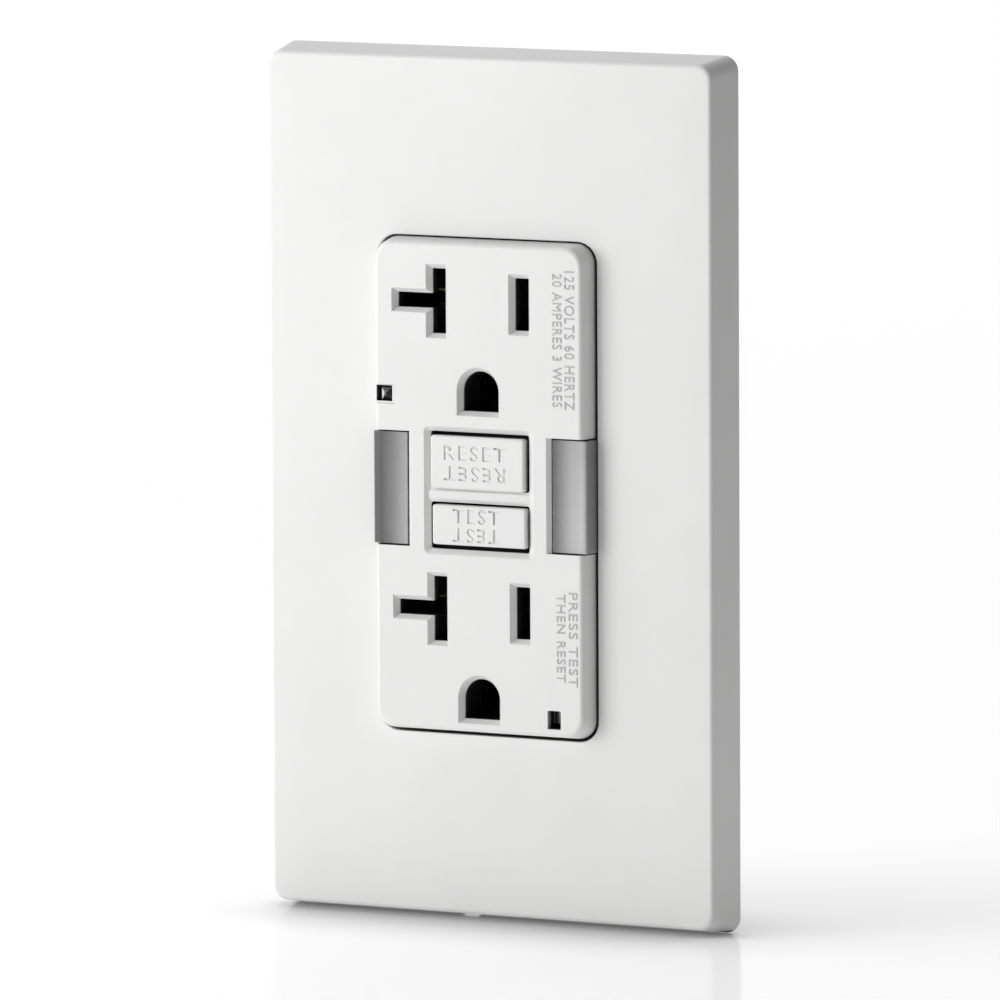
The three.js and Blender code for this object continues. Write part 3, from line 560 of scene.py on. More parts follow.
def lettering(name, text, cap_height, centre, front, depth, turn, tracking, bolder=0.0):
    """Letters as a solid whose front is at a given depth, centred on a point of the face."""
    curve = bpy.data.curves.new(name, "FONT")
    curve.body = text
    curve.align_x = "CENTER"
    curve.align_y = "CENTER"
    curve.size = cap_height / CAP_SHARE
    curve.space_character = tracking
    curve.extrude = depth / 2
    curve.offset = bolder
    curve.resolution_u = 3
    maker = bpy.data.objects.new(name, curve)
    bpy.context.scene.collection.objects.link(maker)
    graph = bpy.context.evaluated_depsgraph_get()
    data = bpy.data.meshes.new_from_object(maker.evaluated_get(graph))
    bpy.data.objects.remove(maker)
    xs = [v.co.x for v in data.vertices]
    ys = [v.co.y for v in data.vertices]
    middle = Vector(((min(xs) + max(xs)) / 2, (min(ys) + max(ys)) / 2, 0))
    spin = Matrix.Rotation(turn, 4, "Y")
    stand = Matrix.Rotation(math.pi / 2, 4, "X")
    scale = Matrix.Diagonal((MM, MM, MM, 1))
    where = Matrix.Translation(Vector((centre[0], front + depth / 2, centre[1])) * MM)
    data.transform(where @ spin @ stand @ scale @ Matrix.Translation(-middle))
    made = bpy.data.objects.new(name, data)
    bpy.context.scene.collection.objects.link(made)
    return made


# ------------------------ wallplate


# Rings of the faintly domed front, as distance from the rim and depth.
PLATE_CROWN = ((13.0, 0.0), (8.0, 0.004), (4.0, 0.025), (2.2, 0.055), (1.2, 0.085))
# Radius of its rounded edge, thickness of its walls, and the ease round its opening.
PLATE_EDGE = 0.42
PLATE_WALL = 2.2
PLATE_LIP = 0.16
PLATE_RIBS_X = (-26.0, 0.0, 26.0)
PRY_SLOT = {"left": -7.4, "right": -4.8, "front": -1.3, "height": 1.1}


def plate_loop(inset, y, ratio):
    """The wallplate's outline, from its front size (ratio 0) to its size at the wall (ratio 1)."""
    half_x = PLATE_HIGH.x - FRONT_INSET * (1 - ratio) - inset
    half_z = PLATE_HIGH.z - FRONT_INSET * (1 - ratio) - inset
    radius = max(2.05 - 0.45 * inset, 0.8)
    return rounded_loop(half_x, half_z, radius, y)


def plate_rows():
    """The outside of the plate: its front, its rounded edge and its flaring side."""
    rows = [plate_loop(inset, PLATE_Y + sink, 0) for inset, sink in PLATE_CROWN]
    for i in range(7):
        angle = math.radians(84) * i / 6
        y = PLATE_Y + 0.09 + PLATE_EDGE * (1 - math.cos(angle))
        rows.append(plate_loop(PLATE_EDGE * (1 - math.sin(angle)) + 0.06 * (1 - i / 6), y, 0.1 * i / 6))
    rows.append(plate_loop(0, PLATE_Y / 2, 0.52))
    rows.append(plate_loop(0, -0.25, 0.985))
    rows.append(plate_loop(0.08, 0, 1))
    return rows


def plate_opening():
    """A cutter for the plate's opening, a little wider at the front."""
    half_x, half_z, radius = OPENING[0] / 2, OPENING[1] / 2, OPENING[2]
    steps = (
        (PLATE_LIP * 3, PLATE_LIP * 3, PLATE_Y - 2 * PLATE_LIP),
        (PLATE_LIP, PLATE_LIP, PLATE_Y),
        (0.3 * PLATE_LIP, 0, PLATE_Y + 0.45 * PLATE_LIP),
        (0, 0, PLATE_Y + 1.3 * PLATE_LIP),
        (0, 0, 1),
    )
    return solid_from_rows("opening", [
        rounded_loop(half_x + wider, half_z + wider, radius + rounder, y, OPENING_CENTRE)
        for wider, rounder, y in steps])


def plate_ribs():
    """Short ribs behind the plate's upper and lower edges."""
    ribs = []
    for side in (-1, 1):
        z = side * (PLATE_HIGH.z - 3.2)
        for x in PLATE_RIBS_X:
            ribs.append(block("rib", (x - 0.4, PLATE_Y + 2.0, z - 1.2), (x + 0.4, -1.0, z + 1.2)))
    return ribs


def make_wallplate():
    """The clip-on shell with its opening, its ribs and a pry slot in its lower edge."""
    plate = solid_from_rows("wallplate_shell", plate_rows())
    cavity = solid_from_rows("cavity", [
        plate_loop(PLATE_WALL, PLATE_Y + PLATE_WALL, 0.2),
        plate_loop(PLATE_WALL, 0.5, 1.05),
    ])
    cut(plate, [cavity, plate_opening()])
    cut(plate, plate_ribs(), "UNION")
    foot = PLATE_LOW.z
    pry_slot = block(
        "pry_slot",
        (PRY_SLOT["left"], PRY_SLOT["front"], foot - 1),
        (PRY_SLOT["right"], 0.5, foot + PRY_SLOT["height"]))
    cut(plate, [pry_slot])
    soften(plate, 0.08)
    dress(plate, "plate", "white_plastic", ["wallplate"], MATERIALS["plate_white"])


# ------------------------ face cover


FACE_EDGE = 0.55

# Cutters start this far ahead of the face and reach this deep into it.
OVERSHOOT = 0.3
HOLE_DEPTH = 2.6

# Half sizes of the slots, the end of the T slot's arm, and the ground hole.
HOT_SLOT = (1.03, 3.5)
NEUTRAL_SLOT = (1.0, 4.35)
NEUTRAL_ARM_END = -12.65
GROUND_RADIUS = 2.68
GROUND_FOOT = 2.73
GROUND_STEPS = 28


def block_loop(y, inset=0.0):
    """The face block's outline at a depth. Proud of the plate its sides lean in."""
    lean = BLOCK_TAPER / (PLATE_Y - FACE_Y)
    ahead = min(0.0, y - PLATE_Y)
    half_x = BLOCK[0] / 2 + ahead * lean - inset
    half_z = BLOCK[1] / 2 + ahead * lean - inset
    return rounded_loop(half_x, half_z, BLOCK[2] - 0.6 * inset, y, BLOCK_CENTRE)


def block_rows():
    """The outside of the face block, from its rounded front edge to its flange."""
    rows = []
    for i in range(7):
        angle = math.radians(78) * i / 6
        y = FACE_Y + FACE_EDGE * (1 - math.cos(angle))
        rows.append(block_loop(y, FACE_EDGE * (1 - math.sin(angle))))
    rows.append(block_loop(PLATE_Y))
    rows.append(block_loop(FLANGE_FRONT))
    rows.append(rounded_loop(COVER_HIGH.x, COVER_HIGH.z, 1.5, FLANGE_FRONT))
    rows.append(rounded_loop(COVER_HIGH.x, COVER_HIGH.z, 1.5, FLANGE_BACK))
    return rows


def slot_cutter(outline):
    """A cutter for a slot with a sloping mouth. outline(grow, y) gives its points at y."""
    grow = CHAMFER * (1 + OVERSHOOT / CHAMFER_DEPTH)
    return solid_from_rows("slot", [
        outline(grow, FACE_Y - OVERSHOOT),
        outline(0.0, FACE_Y + CHAMFER_DEPTH),
        outline(0.0, FACE_Y + HOLE_DEPTH),
    ])


def hot_outline(line_z):
    """The upright slot on the right."""
    def outline(grow, y):
        half_x, half_z = HOT_SLOT
        return rounded_loop(half_x + grow, half_z + grow, 0.12 + 0.15 * grow, y, (BLADE_X, line_z), 3)
    return outline


def neutral_outline(line_z):
    """The T slot on the left."""
    def outline(grow, y):
        half_x, half_z = NEUTRAL_SLOT
        right, left = -BLADE_X + half_x + grow, -BLADE_X - half_x - grow
        end, tall, arm = NEUTRAL_ARM_END - grow, half_z + grow, half_x + grow
        corners = [
            (right, tall), (left, tall), (left, arm), (end, arm),
            (end, -arm), (left, -arm), (left, -tall), (right, -tall),
        ]
        return [Vector((x, y, line_z + z)) for x, z in corners]
    return outline


def ground_outline(line_z):
    """The ground hole: round above, flat below."""
    def outline(grow, y):
        radius = GROUND_RADIUS + grow
        centre = line_z - GROUND_DROP
        points = []
        for i in range(GROUND_STEPS + 1):
            angle = math.pi * i / GROUND_STEPS
            points.append(Vector((radius * math.cos(angle), y, centre + radius * math.sin(angle))))
        for x in (-radius, radius):
            points.append(Vector((x, y, centre - GROUND_FOOT - grow)))
        return points
    return outline


def slot_outlines(line_z):
    """The three openings of one outlet."""
    return hot_outline(line_z), neutral_outline(line_z), ground_outline(line_z)


BEZEL = {"half_x": 8.4, "low": -9.0, "high": 8.25, "corner": 0.75, "depth": 0.62}
HOLE_LEFT = -7.6
HOLE_RIGHT = 7.45
HOLE_CORNER = 0.3
CROSSBAR = {"recess": 0.4, "round": 0.6, "half_x": 9.5}

# Inner sides of a lens window at the front and behind its slope, and its lowest and highest Z.
WINDOW = {"mouth": 9.15, "inner": 10.95, "low": -8.1, "high": 7.4, "back": -4.0}

# A place in X well beyond the face block's side.
BEYOND_SIDE = 18

INDICATOR = {"left": 10.43, "right": 12.46, "low": -31.6, "high": -29.1}


def button_row(left, right, low, high, y, radius):
    """A rounded rectangle given by its four sides."""
    centre = ((left + right) / 2, (low + high) / 2)
    return rounded_loop((right - left) / 2, (high - low) / 2, radius, y, centre, 4)


def crossbar():
    """The rounded bar between the two buttons, a little below the face."""
    low, high = BUTTONS["test"]["hole"][1], BUTTONS["reset"]["hole"][0]
    front, rounding = FACE_Y + CROSSBAR["recess"], CROSSBAR["round"]
    section = [(FACE_Y + 3, low)]
    for i in range(7):
        angle = math.pi / 2 * i / 6
        section.append((front + rounding * (1 - math.sin(angle)), low + rounding * (1 - math.cos(angle))))
    section += [(y, low + high - z) for y, z in reversed(section)]
    rows = [[Vector((x, y, z)) for y, z in section] for x in (-CROSSBAR["half_x"], CROSSBAR["half_x"])]
    return solid_from_rows("crossbar", rows)


def bezel_cutter():
    """One sloping recess round both buttons, less the bar between them."""
    half_x, low, high, corner = (BEZEL[key] for key in ("half_x", "low", "high", "corner"))
    floor_low, floor_high = BUTTONS["test"]["hole"][0], BUTTONS["reset"]["hole"][1]
    over = OVERSHOOT
    recess = solid_from_rows("bezel", [
        button_row(-half_x - over, half_x + over, low - over, high + over, FACE_Y - over, corner + 0.1),
        button_row(-half_x, half_x, low, high, FACE_Y, corner),
        button_row(HOLE_LEFT, HOLE_RIGHT, floor_low, floor_high, FACE_Y + BEZEL["depth"], HOLE_CORNER),
    ])
    return cut(recess, [crossbar()])


def button_holes():
    """The holes behind the bezel, one for each button."""
    holes = []
    for sizes in BUTTONS.values():
        low, high = sizes["hole"]
        holes.append(solid_from_rows("button_hole", [
            button_row(HOLE_LEFT, HOLE_RIGHT, low, high, FACE_Y + deep, HOLE_CORNER)
            for deep in (BEZEL["depth"] - 0.03, HOLE_DEPTH)]))
    return holes


def window_cutter(side):
    """A lens window, its inner edge sloping in from the face."""
    steps = (
        (WINDOW["mouth"], FACE_Y - 1.0),
        (WINDOW["inner"], FACE_Y + 0.5),
        (WINDOW["inner"], WINDOW["back"]),
    )
    low_z, high_z = WINDOW["low"], WINDOW["high"]
    rows = []
    for inner, y in steps:
        low_x, high_x = sorted((side * inner, side * BEYOND_SIDE))
        corners = ((high_x, high_z), (low_x, high_z), (low_x, low_z), (high_x, low_z))
        rows.append([Vector((x, y, z)) for x, z in corners])
    return solid_from_rows("window", rows)


def small_print(name, text, x, top, bottom, cap_height):
    """A line of raised print that reads downwards along the right edge of the face."""
    letters = lettering(
        name, text, cap_height, (x, (top + bottom) / 2), FACE_Y - 0.07,
        depth=0.2, turn=math.pi / 2, tracking=1.12)
    zs = [v.co.z for v in letters.data.vertices]
    length = (max(zs) - min(zs)) / MM
    middle = (top + bottom) / 2 * MM
    fit = (top - bottom) / length
    for v in letters.data.vertices:
        v.co.z = middle + (v.co.z - middle) * fit
    # The letters are grey as painted shade of their raised edges.
    dress(letters, "receptacle", "white_plastic", material=MATERIALS["lettering_painted_shade"])


# The hollow behind the face, as half sizes, and the black blocks in it.
CAVITY = (14.4, 31.7)
BEHIND_FACE = FACE_Y + FACE_WALL + 0.05
SHROUD_BACK = -2.6
SHROUD_FOOT = -31.6
WELL_GROWTH = 0.45


def make_slot_shroud(name, line_z):
    """The black moulded block behind one outlet, with a well behind each slot."""
    foot = max(line_z - 15.5, SHROUD_FOOT)
    shroud = block(name, (-13.9, BEHIND_FACE, line_z - 5.2), (9.5, SHROUD_BACK, line_z + 5.2), 0.5)
    stem = block("stem", (-5.0, BEHIND_FACE, foot), (5.0, SHROUD_BACK, line_z - 4.0), 0.5)
    cut(shroud, [stem], "UNION")
    wells = []
    for outline in slot_outlines(line_z):
        rows = [outline(WELL_GROWTH, y) for y in (BEHIND_FACE - 1, SHROUD_BACK + 1)]
        wells.append(solid_from_rows("well", rows))
    cut(shroud, wells)
    soften(shroud, 0.08)
    dress(shroud, "receptacle", "dark_housing")


def face_cutters():
    """Everything that is cut out of the face block."""
    half_x, half_z = CAVITY
    cutters = [block("cavity", (-half_x, FACE_Y + FACE_WALL, -half_z), (half_x, 0, half_z), 1.2)]
    cutters += [bezel_cutter()] + button_holes()
    for line_z in OUTLET_LINES:
        cutters += [slot_cutter(outline) for outline in slot_outlines(line_z)]
    cutters += [window_cutter(side) for side in (-1, 1)]
    cutters.append(sensor_block("sensor", 0, FACE_Y - 1, FACE_Y + 3, 0.15))
    cutters.append(block(
        "indicator",
        (INDICATOR["left"], FACE_Y - 1, INDICATOR["low"]),
        (INDICATOR["right"], FACE_Y + 3, INDICATOR["high"]), 0.15))
    return cutters


def make_face_cover():
    """The face block, the black blocks behind its slots and its small print."""
    cover = solid_from_rows("face_cover_moulding", block_rows())
    cut(cover, face_cutters())
    soften(cover, 0.08, 2, 28)
    dress(cover, "receptacle", "white_plastic", ["face_cover"], MATERIALS["face_white"])
    make_slot_shroud("slot_shroud_upper", OUTLET_LINES[0])
    make_slot_shroud("slot_shroud_lower", OUTLET_LINES[1])
    small_print("small_print_upper_right", "125 VOLTS 60 HERTZ", 13.97, 29.8, 11.3, 1.5)
    small_print("small_print_upper_left", "20 AMPERES 3 WIRES", 12.1, 29.4, 11.6, 1.4)
    small_print("small_print_lower_right", "PRESS TEST", 14.4, -13.1, -25.75, 1.35)
    small_print("small_print_lower_left", "THEN RESET", 12.55, -13.4, -25.2, 1.3)


# ------------------------ buttons


# Words in the caps: their middle and width in X, the middle of each copy in Z, and the cap height.
LABELS = {
    "reset": {
        "text": "RESET", "centre": -0.4, "width": 9.5, "height": 1.95, "upright": 4.8, "inverted": 2.05},
    "test": {
        "text": "TEST", "centre": -0.2, "width": 7.2, "height": 1.9, "upright": -3.65, "inverted": -6.2},
}
LABEL_DEPTH = 0.36
LABEL_PROUD = 0.2


def label_cutters(kind, front):
    """The upright word and its inverted copy, as cutters that engrave the cap."""
    label = LABELS[kind]
    cutters = []
    for place, turn in (("upright", 0.0), ("inverted", math.pi)):
        word = lettering(
            f"{kind}_{place}", label["text"], label["height"], (label["centre"], label[place]),
            front - LABEL_PROUD, LABEL_DEPTH, turn, tracking=1.2, bolder=0.02)
        xs = [v.co.x for v in word.data.vertices]
        fit = label["width"] / ((max(xs) - min(xs)) / MM)
        middle = (max(xs) + min(xs)) / 2
        for v in word.data.vertices:
            v.co.x = middle + (v.co.x - middle) * fit
        cutters.append(word)
    return cutters


CAP_EDGE = 0.3
CAP_CORNER = 0.4
FLANGE_HALF_WIDTH = 8.2
FLANGE_END = -5.2

# The round socket for the reset pin, and the round stem that presses the test leaf.
BAR_SIDES = 20
SOCKET = {"centre_z": 3.5, "radius": 1.25, "span": (-7.2, -5.0)}
STEM = {"centre_z": -4.85, "radius": 1.5, "front": -5.6}
STEM_GAP = 0.2


def round_bar(name, centre_z, radius, span):
    """A round bar along Y in the middle of the device, between two depths."""
    rows = []
    for y in span:
        turns = [2 * math.pi * i / BAR_SIDES for i in range(BAR_SIDES)]
        rows.append([Vector((radius * math.cos(a), y, centre_z + radius * math.sin(a))) for a in turns])
    return solid_from_rows(name, rows)


def cap_rows(kind, front):
    """The cap's outline from its rounded front edge to the flange hidden behind the face."""
    bottom, top = BUTTONS[kind]["cap"]
    centre = (BUTTONS[kind]["middle"], (top + bottom) / 2)
    half_x, half_z = BUTTON_HALF_WIDTH, (top - bottom) / 2
    rows = []
    for i in range(6):
        angle = math.radians(88) * i / 5
        inset = CAP_EDGE * (1 - math.sin(angle))
        y = front + CAP_EDGE * (1 - math.cos(angle))
        rows.append(rounded_loop(half_x - inset, half_z - inset, CAP_CORNER, y, centre, 4))
    rows.append(rounded_loop(half_x, half_z, CAP_CORNER, BEHIND_FACE, centre, 4))
    low, high = BUTTONS[kind]["flange"]
    for y in (BEHIND_FACE + 0.03, FLANGE_END):
        rows.append(button_row(-FLANGE_HALF_WIDTH, FLANGE_HALF_WIDTH, low, high, y, CAP_CORNER))
    return rows


def make_button(kind):
    """A button's cap with its engraved words, and its socket or stem behind."""
    node = f"{kind}_button"
    low, high = box_mm(node)
    cap = solid_from_rows(f"{kind}_cap", cap_rows(kind, low.y))
    cut(cap, label_cutters(kind, low.y))
    if kind == "reset":
        cut(cap, [round_bar("socket", SOCKET["centre_z"], SOCKET["radius"], SOCKET["span"])])
    else:
        span = (STEM["front"], high.y - STEM_GAP)
        cut(cap, [round_bar("stem", STEM["centre_z"], STEM["radius"], span)], "UNION")
    soften(cap, 0.02, 1, 30)
    dress(cap, kind, "white_plastic", [node], MATERIALS["face_white"])


# ------------------------ lenses


LENS = {"half_x": 16.5, "inner": 11.15, "low": -7.9, "high": 7.18, "back": -4.1}
LENS_LEAN = 0.1
LENS_RECESS = 0.35
LENS_EDGE = 0.3
LENS_TALL = 20
LENS_HOLLOW = {"inner": 9.9, "outer": 14.9, "half_z": 9, "back": -3}


def lens_rows():
    """A bar as wide as both lenses, its front edges rounded and its sides leaning in."""
    rows = []
    for i in range(6):
        angle = math.radians(84) * i / 5
        inset = LENS_LEAN + LENS_EDGE * (1 - math.sin(angle))
        y = FACE_Y + LENS_RECESS + LENS_EDGE * (1 - math.cos(angle))
        rows.append(rounded_loop(LENS["half_x"] - inset, LENS_TALL, 1, y))
    for y in (PLATE_Y, LENS["back"]):
        rows.append(rounded_loop(LENS["half_x"], LENS_TALL, 1, y))
    return rows


def make_guide_lens(side, name):
    """A light-guide lens that wraps from the face round its side edge."""
    lens = solid_from_rows(f"guide_lens_{name}_moulding", lens_rows())
    low_x, high_x = sorted((side * LENS["inner"], side * BEYOND_SIDE))
    window = block(
        "window", (low_x, FACE_Y - 1, LENS["low"]), (high_x, LENS["back"] + 1, LENS["high"]))
    cut(lens, [window], "INTERSECT")
    low_x, high_x = sorted((side * LENS_HOLLOW["inner"], side * LENS_HOLLOW["outer"]))
    tall = LENS_HOLLOW["half_z"]
    hollow = block("hollow", (low_x, FACE_Y + FACE_WALL, -tall), (high_x, LENS_HOLLOW["back"], tall))
    cut(lens, [hollow])
    soften(lens, 0.05)
    dress(lens, "receptacle", "smoke_lens", [f"guide_lens_{name}"])


SENSOR_HOLE = {"left": -15.8, "right": -12.85, "low": 10.95, "high": 13.5}
SENSOR_FRONT = FACE_Y + 0.4
LINER_BACK = -6.4


def sensor_block(name, inset, front, back, radius):
    """A block inside the sensor's hole, smaller by the inset on every side."""
    return block(
        name,
        (SENSOR_HOLE["left"] + inset, front, SENSOR_HOLE["low"] + inset),
        (SENSOR_HOLE["right"] - inset, back, SENSOR_HOLE["high"] - inset), radius)


def make_sensor_lens():
    """A small clear lens with a pyramid front."""
    low, high = box_mm("sensor_lens")
    centre = ((low.x + high.x) / 2, (low.z + high.z) / 2)
    half_x, half_z = (high.x - low.x) / 2, (high.z - low.z) / 2
    lens = solid_from_rows("sensor_lens_moulding", [
        rounded_loop(half_x * 0.3, half_z * 0.35, 0.05, SENSOR_FRONT, centre, 3),
        rounded_loop(half_x * 0.92, half_z * 0.92, 0.1, SENSOR_FRONT + 0.4, centre, 3),
        rounded_loop(half_x, half_z, 0.15, SENSOR_FRONT + 0.55, centre, 3),
        rounded_loop(half_x, half_z, 0.15, high.y, centre, 3),
    ])
    soften(lens, 0.02)
    dress(lens, "receptacle", "clear_lens", ["sensor_lens"])


def make_sensor_liner():
    """The black liner of the sensor's hole, with a seat for the lens."""
    low, high = box_mm("sensor_lens")
    liner = sensor_block("sensor_liner", 0.05, FACE_Y + 0.35, LINER_BACK, 0.12)
    bore = sensor_block("bore", 0.15, FACE_Y - 1, LINER_BACK - 0.2, 0.1)
    seat = block("seat", (low.x - 0.03, -7, low.z - 0.03), (high.x + 0.03, -6, high.z + 0.03), 0.15)
    cut(liner, [bore, seat])
    soften(liner, 0.02, 1)
    dress(liner, "receptacle", "chip_black")


def make_sensor_rim():
    """A pale rim along the right and lower sides of the sensor's hole."""
    rim = sensor_block("sensor_rim", 0.04, FACE_Y + 0.05, FACE_Y + 0.32, 0.12)
    mouth = block(
        "mouth",
        (SENSOR_HOLE["left"] - 0.1, FACE_Y - 1, SENSOR_HOLE["low"] + 0.32),
        (SENSOR_HOLE["right"] - 0.4, -8, SENSOR_HOLE["high"] - 0.1), 0.1)
    cut(rim, [mouth])
    soften(rim, 0.04)
    dress(rim, "receptacle", "white_plastic")


# ------------------------ springs


# Mean radius, wire radius and travel of each spring, with the joint and axis it shortens along.
SPRINGS = {
    "reset_spring": {"joint": "reset_press", "axis": "Y", "radius": 1.72, "wire": 0.21, "travel": 2.0},
    "plunger_spring": {"joint": "plunger_stroke", "axis": "Z", "radius": 2.23, "wire": 0.2, "travel": 1.5},
}
COIL_TURNS = 4
STEPS_IN_TURN = 28
WIRE_SIDES = 10


def coil_point(spring, low, high, share):
    """A point of the wire's centre line, and the direction out from the coil's axis."""
    axis = "XYZ".index(spring["axis"])
    across = [i for i in range(3) if i != axis]
    angle = 2 * math.pi * COIL_TURNS * share
    outward = Vector((0, 0, 0))
    outward[across[0]] = math.cos(angle)
    outward[across[1]] = math.sin(angle)
    point = (low + high) / 2 + outward * spring["radius"]
    point[axis] = low[axis] + spring["wire"] + (high[axis] - low[axis] - 2 * spring["wire"]) * share
    return point, outward


def make_spring(node):
    """A wound wire spring in place of its CAD node."""
    spring = SPRINGS[node]
    low, high = box_mm(node)
    steps = COIL_TURNS * STEPS_IN_TURN
    rows = []
    for i in range(steps + 1):
        point, outward = coil_point(spring, low, high, i / steps)
        ahead = coil_point(spring, low, high, (i + 0.5) / steps)[0]
        behind = coil_point(spring, low, high, (i - 0.5) / steps)[0]
        aside = (ahead - behind).normalized().cross(outward)
        rows.append([
            point + spring["wire"] * (math.cos(turn) * outward + math.sin(turn) * aside)
            for turn in (2 * math.pi * j / WIRE_SIDES for j in range(WIRE_SIDES))])
    coil = solid_from_rows(f"{node}_coil", rows)
    for face in coil.data.polygons:
        face.use_smooth = len(face.vertices) == 4
    dress(coil, "receptacle", "zinc_steel", [node])
    squash_spring(coil, spring, low, high)


def squash_spring(coil, spring, low, high):
    """The fixed end is the one away from the part that presses on the spring."""
    axis = "XYZ".index(spring["axis"])
    anchor = (low + high) / 2
    anchor[axis] = high[axis] if spring["axis"] == "Y" else low[axis]
    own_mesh(coil)


# ------------------------ carried-over CAD nodes


THREAD_PITCH = 0.79
THREAD_SIDES = 16
THREAD_START = 0.3
THREAD_END = 0.5
THREAD_HEIGHT = 0.14
THREAD_HALF_CREST = 0.06
THREAD_HALF_ROOT = 0.27
THREAD_SINK = 0.06


def add_thread(node, body):
    """A machine-screw thread wound round the bare shank of a CAD screw that lies along Y."""
    low, high = box_mm(node)
    middle_x, middle_z = (low.x + high.x) / 2, (low.z + high.z) / 2
    spots = [v.co / MM for v in frame["nodes"][node].data.vertices]
    shank = max(math.hypot(v.x - middle_x, v.z - middle_z) for v in spots if v.y > THREAD_START)
    steps = int((high.y - THREAD_END - THREAD_START) / THREAD_PITCH) * THREAD_SIDES
    root = shank - THREAD_SINK
    rows = []
    for i in range(steps + 1):
        angle = 2 * math.pi * i / THREAD_SIDES
        y = THREAD_START + THREAD_PITCH * i / THREAD_SIDES
        run_out = min(1.0, i / THREAD_SIDES, (steps - i) / THREAD_SIDES)
        crest = shank + 0.02 + THREAD_HEIGHT * run_out
        section = (
            (root, y - THREAD_HALF_ROOT), (crest, y - THREAD_HALF_CREST),
            (crest, y + THREAD_HALF_CREST), (root, y + THREAD_HALF_ROOT))
        rows.append([
            Vector((middle_x + r * math.cos(angle), along, middle_z + r * math.sin(angle)))
            for r, along in section])
    thread = solid_from_rows(f"{node}_thread", rows)
    for face in thread.data.polygons:
        face.use_smooth = False
    dress(thread, body, "zinc_steel")


# Half sizes of the raised frame on the back, and places and half sizes of the ribs beside it.
FRAME_OUTSIDE = (9.5, 15)
FRAME_INSIDE = (8.7, 14.2)
FRAME_HEIGHT = 0.22
RIB_X = 14.5
RIB_SPACING = 2.4
RIB_HALF = (2.2, 0.3)
RIB_HEIGHT = 0.2
SINK = 0.05


def add_back_frame():
    """A low raised frame moulded on the back of the body."""
    x, z = FRAME_OUTSIDE
    panel = block("back_panel", (-x, BODY_BACK - SINK, -z), (x, BODY_BACK + FRAME_HEIGHT, z), 1.2)
    x, z = FRAME_INSIDE
    cut(panel, [block("inside", (-x, BODY_BACK - 1, -z), (x, BODY_BACK + 1, z), 0.8)])
    soften(panel, 0.06)
    dress(panel, "receptacle", "dark_housing")


def add_gauge_ribs():
    """Ribs beside the frame that show the length of bare wire."""
    half_x, half_z = RIB_HALF
    for letter, x in (("l", -RIB_X), ("r", RIB_X)):
        for i in range(5):
            z = (i - 2) * RIB_SPACING
            low = (x - half_x, BODY_BACK - SINK, z - half_z)
            high = (x + half_x, BODY_BACK + RIB_HEIGHT, z + half_z)
            rib = block(f"gauge_rib_{letter}_{i}", low, high, 0.28)
            soften(rib, 0.05, 1)
            dress(rib, "receptacle", "dark_housing")


# Bevel width of the larger CAD nodes. The others get the small one.
SMALL_BEVEL = 0.08
BEVELS = {
    "strap": 0.18,
    "subplate": 0.15,
    "rear_housing": 0.25,
    "middle_housing": 0.15,
}


def dress_cad_nodes():
    """Every CAD node gets its slot's material and softened edges."""
    slots = {part["node"]: part["material_slot"] for part in frame["record"]["subparts"]}
    for name, node in frame["nodes"].items():
        node.data.materials.clear()
        node.data.materials.append(MATERIALS[slots[name]])
        soften(node, BEVELS.get(name, SMALL_BEVEL), angle=35)


# ------------------------ stage and light


# The floor, in metres. Its faint glow (left, right) and its shade change between two places along X.
FLOOR_SIZE = 6.0
FLOOR_GAP = 0.00002
FLOOR_GLOW = (0.34, 0.0)
FLOOR_FADE = (0.12, 0.46)
FLOOR_IOR = 1.08

# Which way the room is bright, where along that way the light turns, and its two levels.
ROOM_BRIGHT_SIDE = (-0.86, 0.5, -0.1)
ROOM_TURN = (-0.7, 0.84)
ROOM_LEVELS = (0.08, 1.33)

# Two soft lamps, in metres and watts.
LAMPS = {
    "key": {"place": (-0.5, -0.52, 0.02), "size": (0.45, 0.45), "watts": 3.7},
    "overhead": {"place": (-0.55, -0.3, 1.0), "size": (0.8, 0.7), "watts": 1.3},
}


def add_floor():
    """A pale, faintly glossy table that the plate stands on, with a painted contact shadow round the plate's
    foot. Its glow lights the plate, and its glow and colour fade towards the right.
    """
    z = FLOOR_Z * MM - FLOOR_GAP
    corners = [(x * FLOOR_SIZE, y * FLOOR_SIZE, z) for x, y in ((-1, -1), (1, -1), (1, 1), (-1, 1))]
    mesh = bpy.data.meshes.new("floor")
    mesh.from_pydata(corners, [], [(0, 1, 2, 3)])
    floor = bpy.data.objects.new("floor", mesh)
    bpy.context.scene.collection.objects.link(floor)
    make = Nodes("floor")
    cloud = make.blend(make.spread(make.noise(6, 3), 0, 1), (0.846, 0.846, 0.846), (0.856, 0.856, 0.856))
    far_right = make.spread(make.along("X"), 0, 1, *FLOOR_FADE)
    # Painted contact shadow: the floor and its glow darken near the plate's foot.
    contact_shadow = make.openness(24.0, 0.5, 0.98, 0.34)
    tint = make.blend(contact_shadow, (0.42, 0.42, 0.42), make.blend(far_right, cloud, (0.62, 0.62, 0.62)))
    gloss = make.spread(make.noise(30, 3), 0.135, 0.145)
    glow = make.times(make.spread(far_right, *FLOOR_GLOW, 0, 1), contact_shadow)
    make.link(glow, make.shader.inputs["Emission Strength"])
    make.finish(tint, gloss, IOR=FLOOR_IOR, Emission_Color=(1, 1, 1, 1))
    mesh.materials.append(make.material)


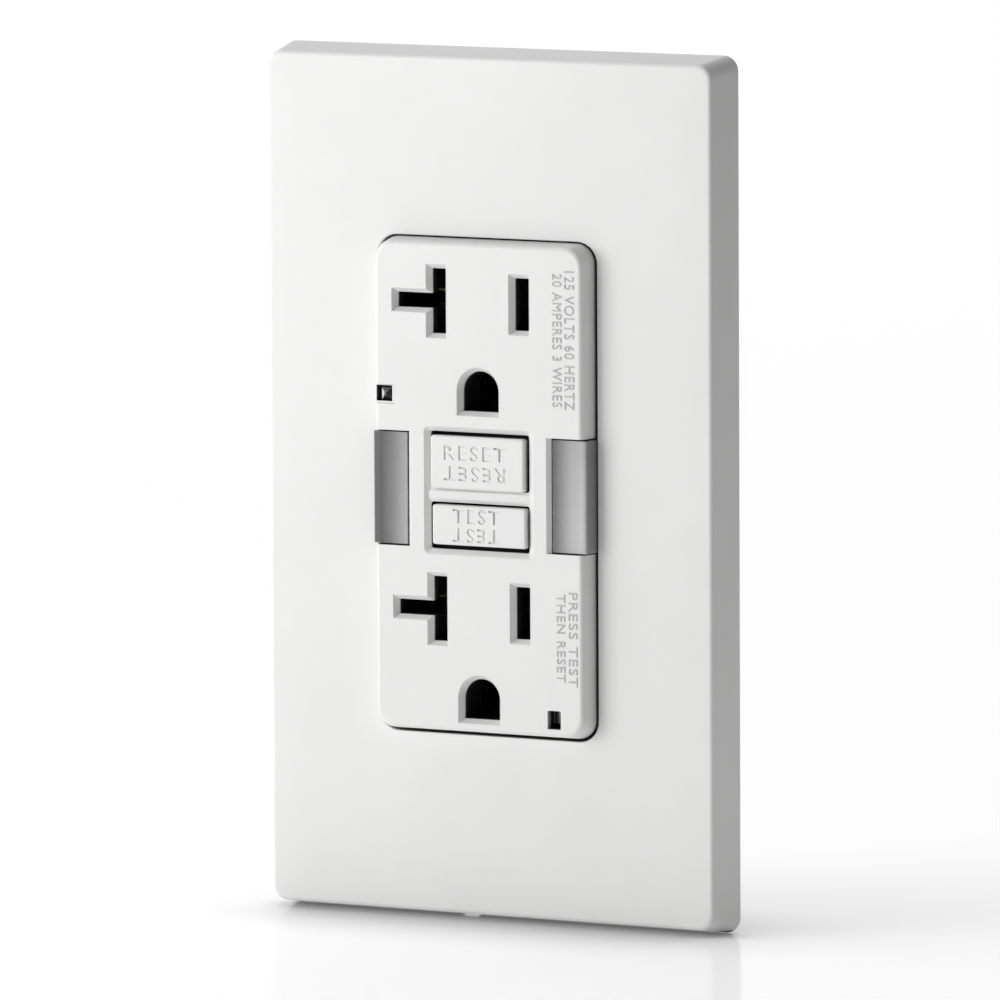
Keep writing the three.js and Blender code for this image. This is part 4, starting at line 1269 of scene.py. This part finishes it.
def add_lamp(name, place, size, watts):
    """A rectangular lamp that shines at the part's origin."""
    data = bpy.data.lights.new(name, "AREA")
    data.shape = "RECTANGLE"
    data.size, data.size_y = size
    data.energy = watts
    lamp = bpy.data.objects.new(name, data)
    bpy.context.scene.collection.objects.link(lamp)
    lamp.location = place
    lamp.rotation_euler = (-Vector(place)).to_track_quat("-Z", "Y").to_euler()


def add_world():
    """A soft room: bright at the back left, dim at the right."""
    world = bpy.data.worlds.new("room")
    bpy.context.scene.world = world
    world.use_nodes = True
    tree = world.node_tree
    tree.nodes.clear()
    output = tree.nodes.new("ShaderNodeOutputWorld")
    light = tree.nodes.new("ShaderNodeBackground")
    place = tree.nodes.new("ShaderNodeTexCoord")
    toward = tree.nodes.new("ShaderNodeVectorMath")
    toward.operation = "DOT_PRODUCT"
    toward.inputs[1].default_value = ROOM_BRIGHT_SIDE
    ramp = tree.nodes.new("ShaderNodeMapRange")
    ramp.inputs["From Min"].default_value, ramp.inputs["From Max"].default_value = ROOM_TURN
    ramp.inputs["To Min"].default_value, ramp.inputs["To Max"].default_value = ROOM_LEVELS
    tree.links.new(place.outputs["Generated"], toward.inputs[0])
    tree.links.new(toward.outputs["Value"], ramp.inputs["Value"])
    tree.links.new(ramp.outputs["Result"], light.inputs["Strength"])
    tree.links.new(light.outputs["Background"], output.inputs["Surface"])


def add_stage():
    """The floor, the room and the lamps."""
    add_floor()
    add_world()
    for name, lamp in LAMPS.items():
        add_lamp(name, lamp["place"], lamp["size"], lamp["watts"])
    bpy.context.scene.view_settings.view_transform = "Standard"


# ------------------------ assembly


dress_cad_nodes()
make_wallplate()
make_face_cover()
for button in BUTTONS:
    make_button(button)
make_guide_lens(-1, "left")
make_guide_lens(1, "right")
make_sensor_lens()
make_sensor_liner()
make_sensor_rim()
for node in SPRINGS:
    make_spring(node)
for end in ("top", "bottom"):
    add_thread(f"box_screw_{end}", f"{end}_box_screw")
    add_thread(f"subplate_screw_{end}", f"{end}_plate_screw")
add_back_frame()
add_gauge_ribs()
add_stage()
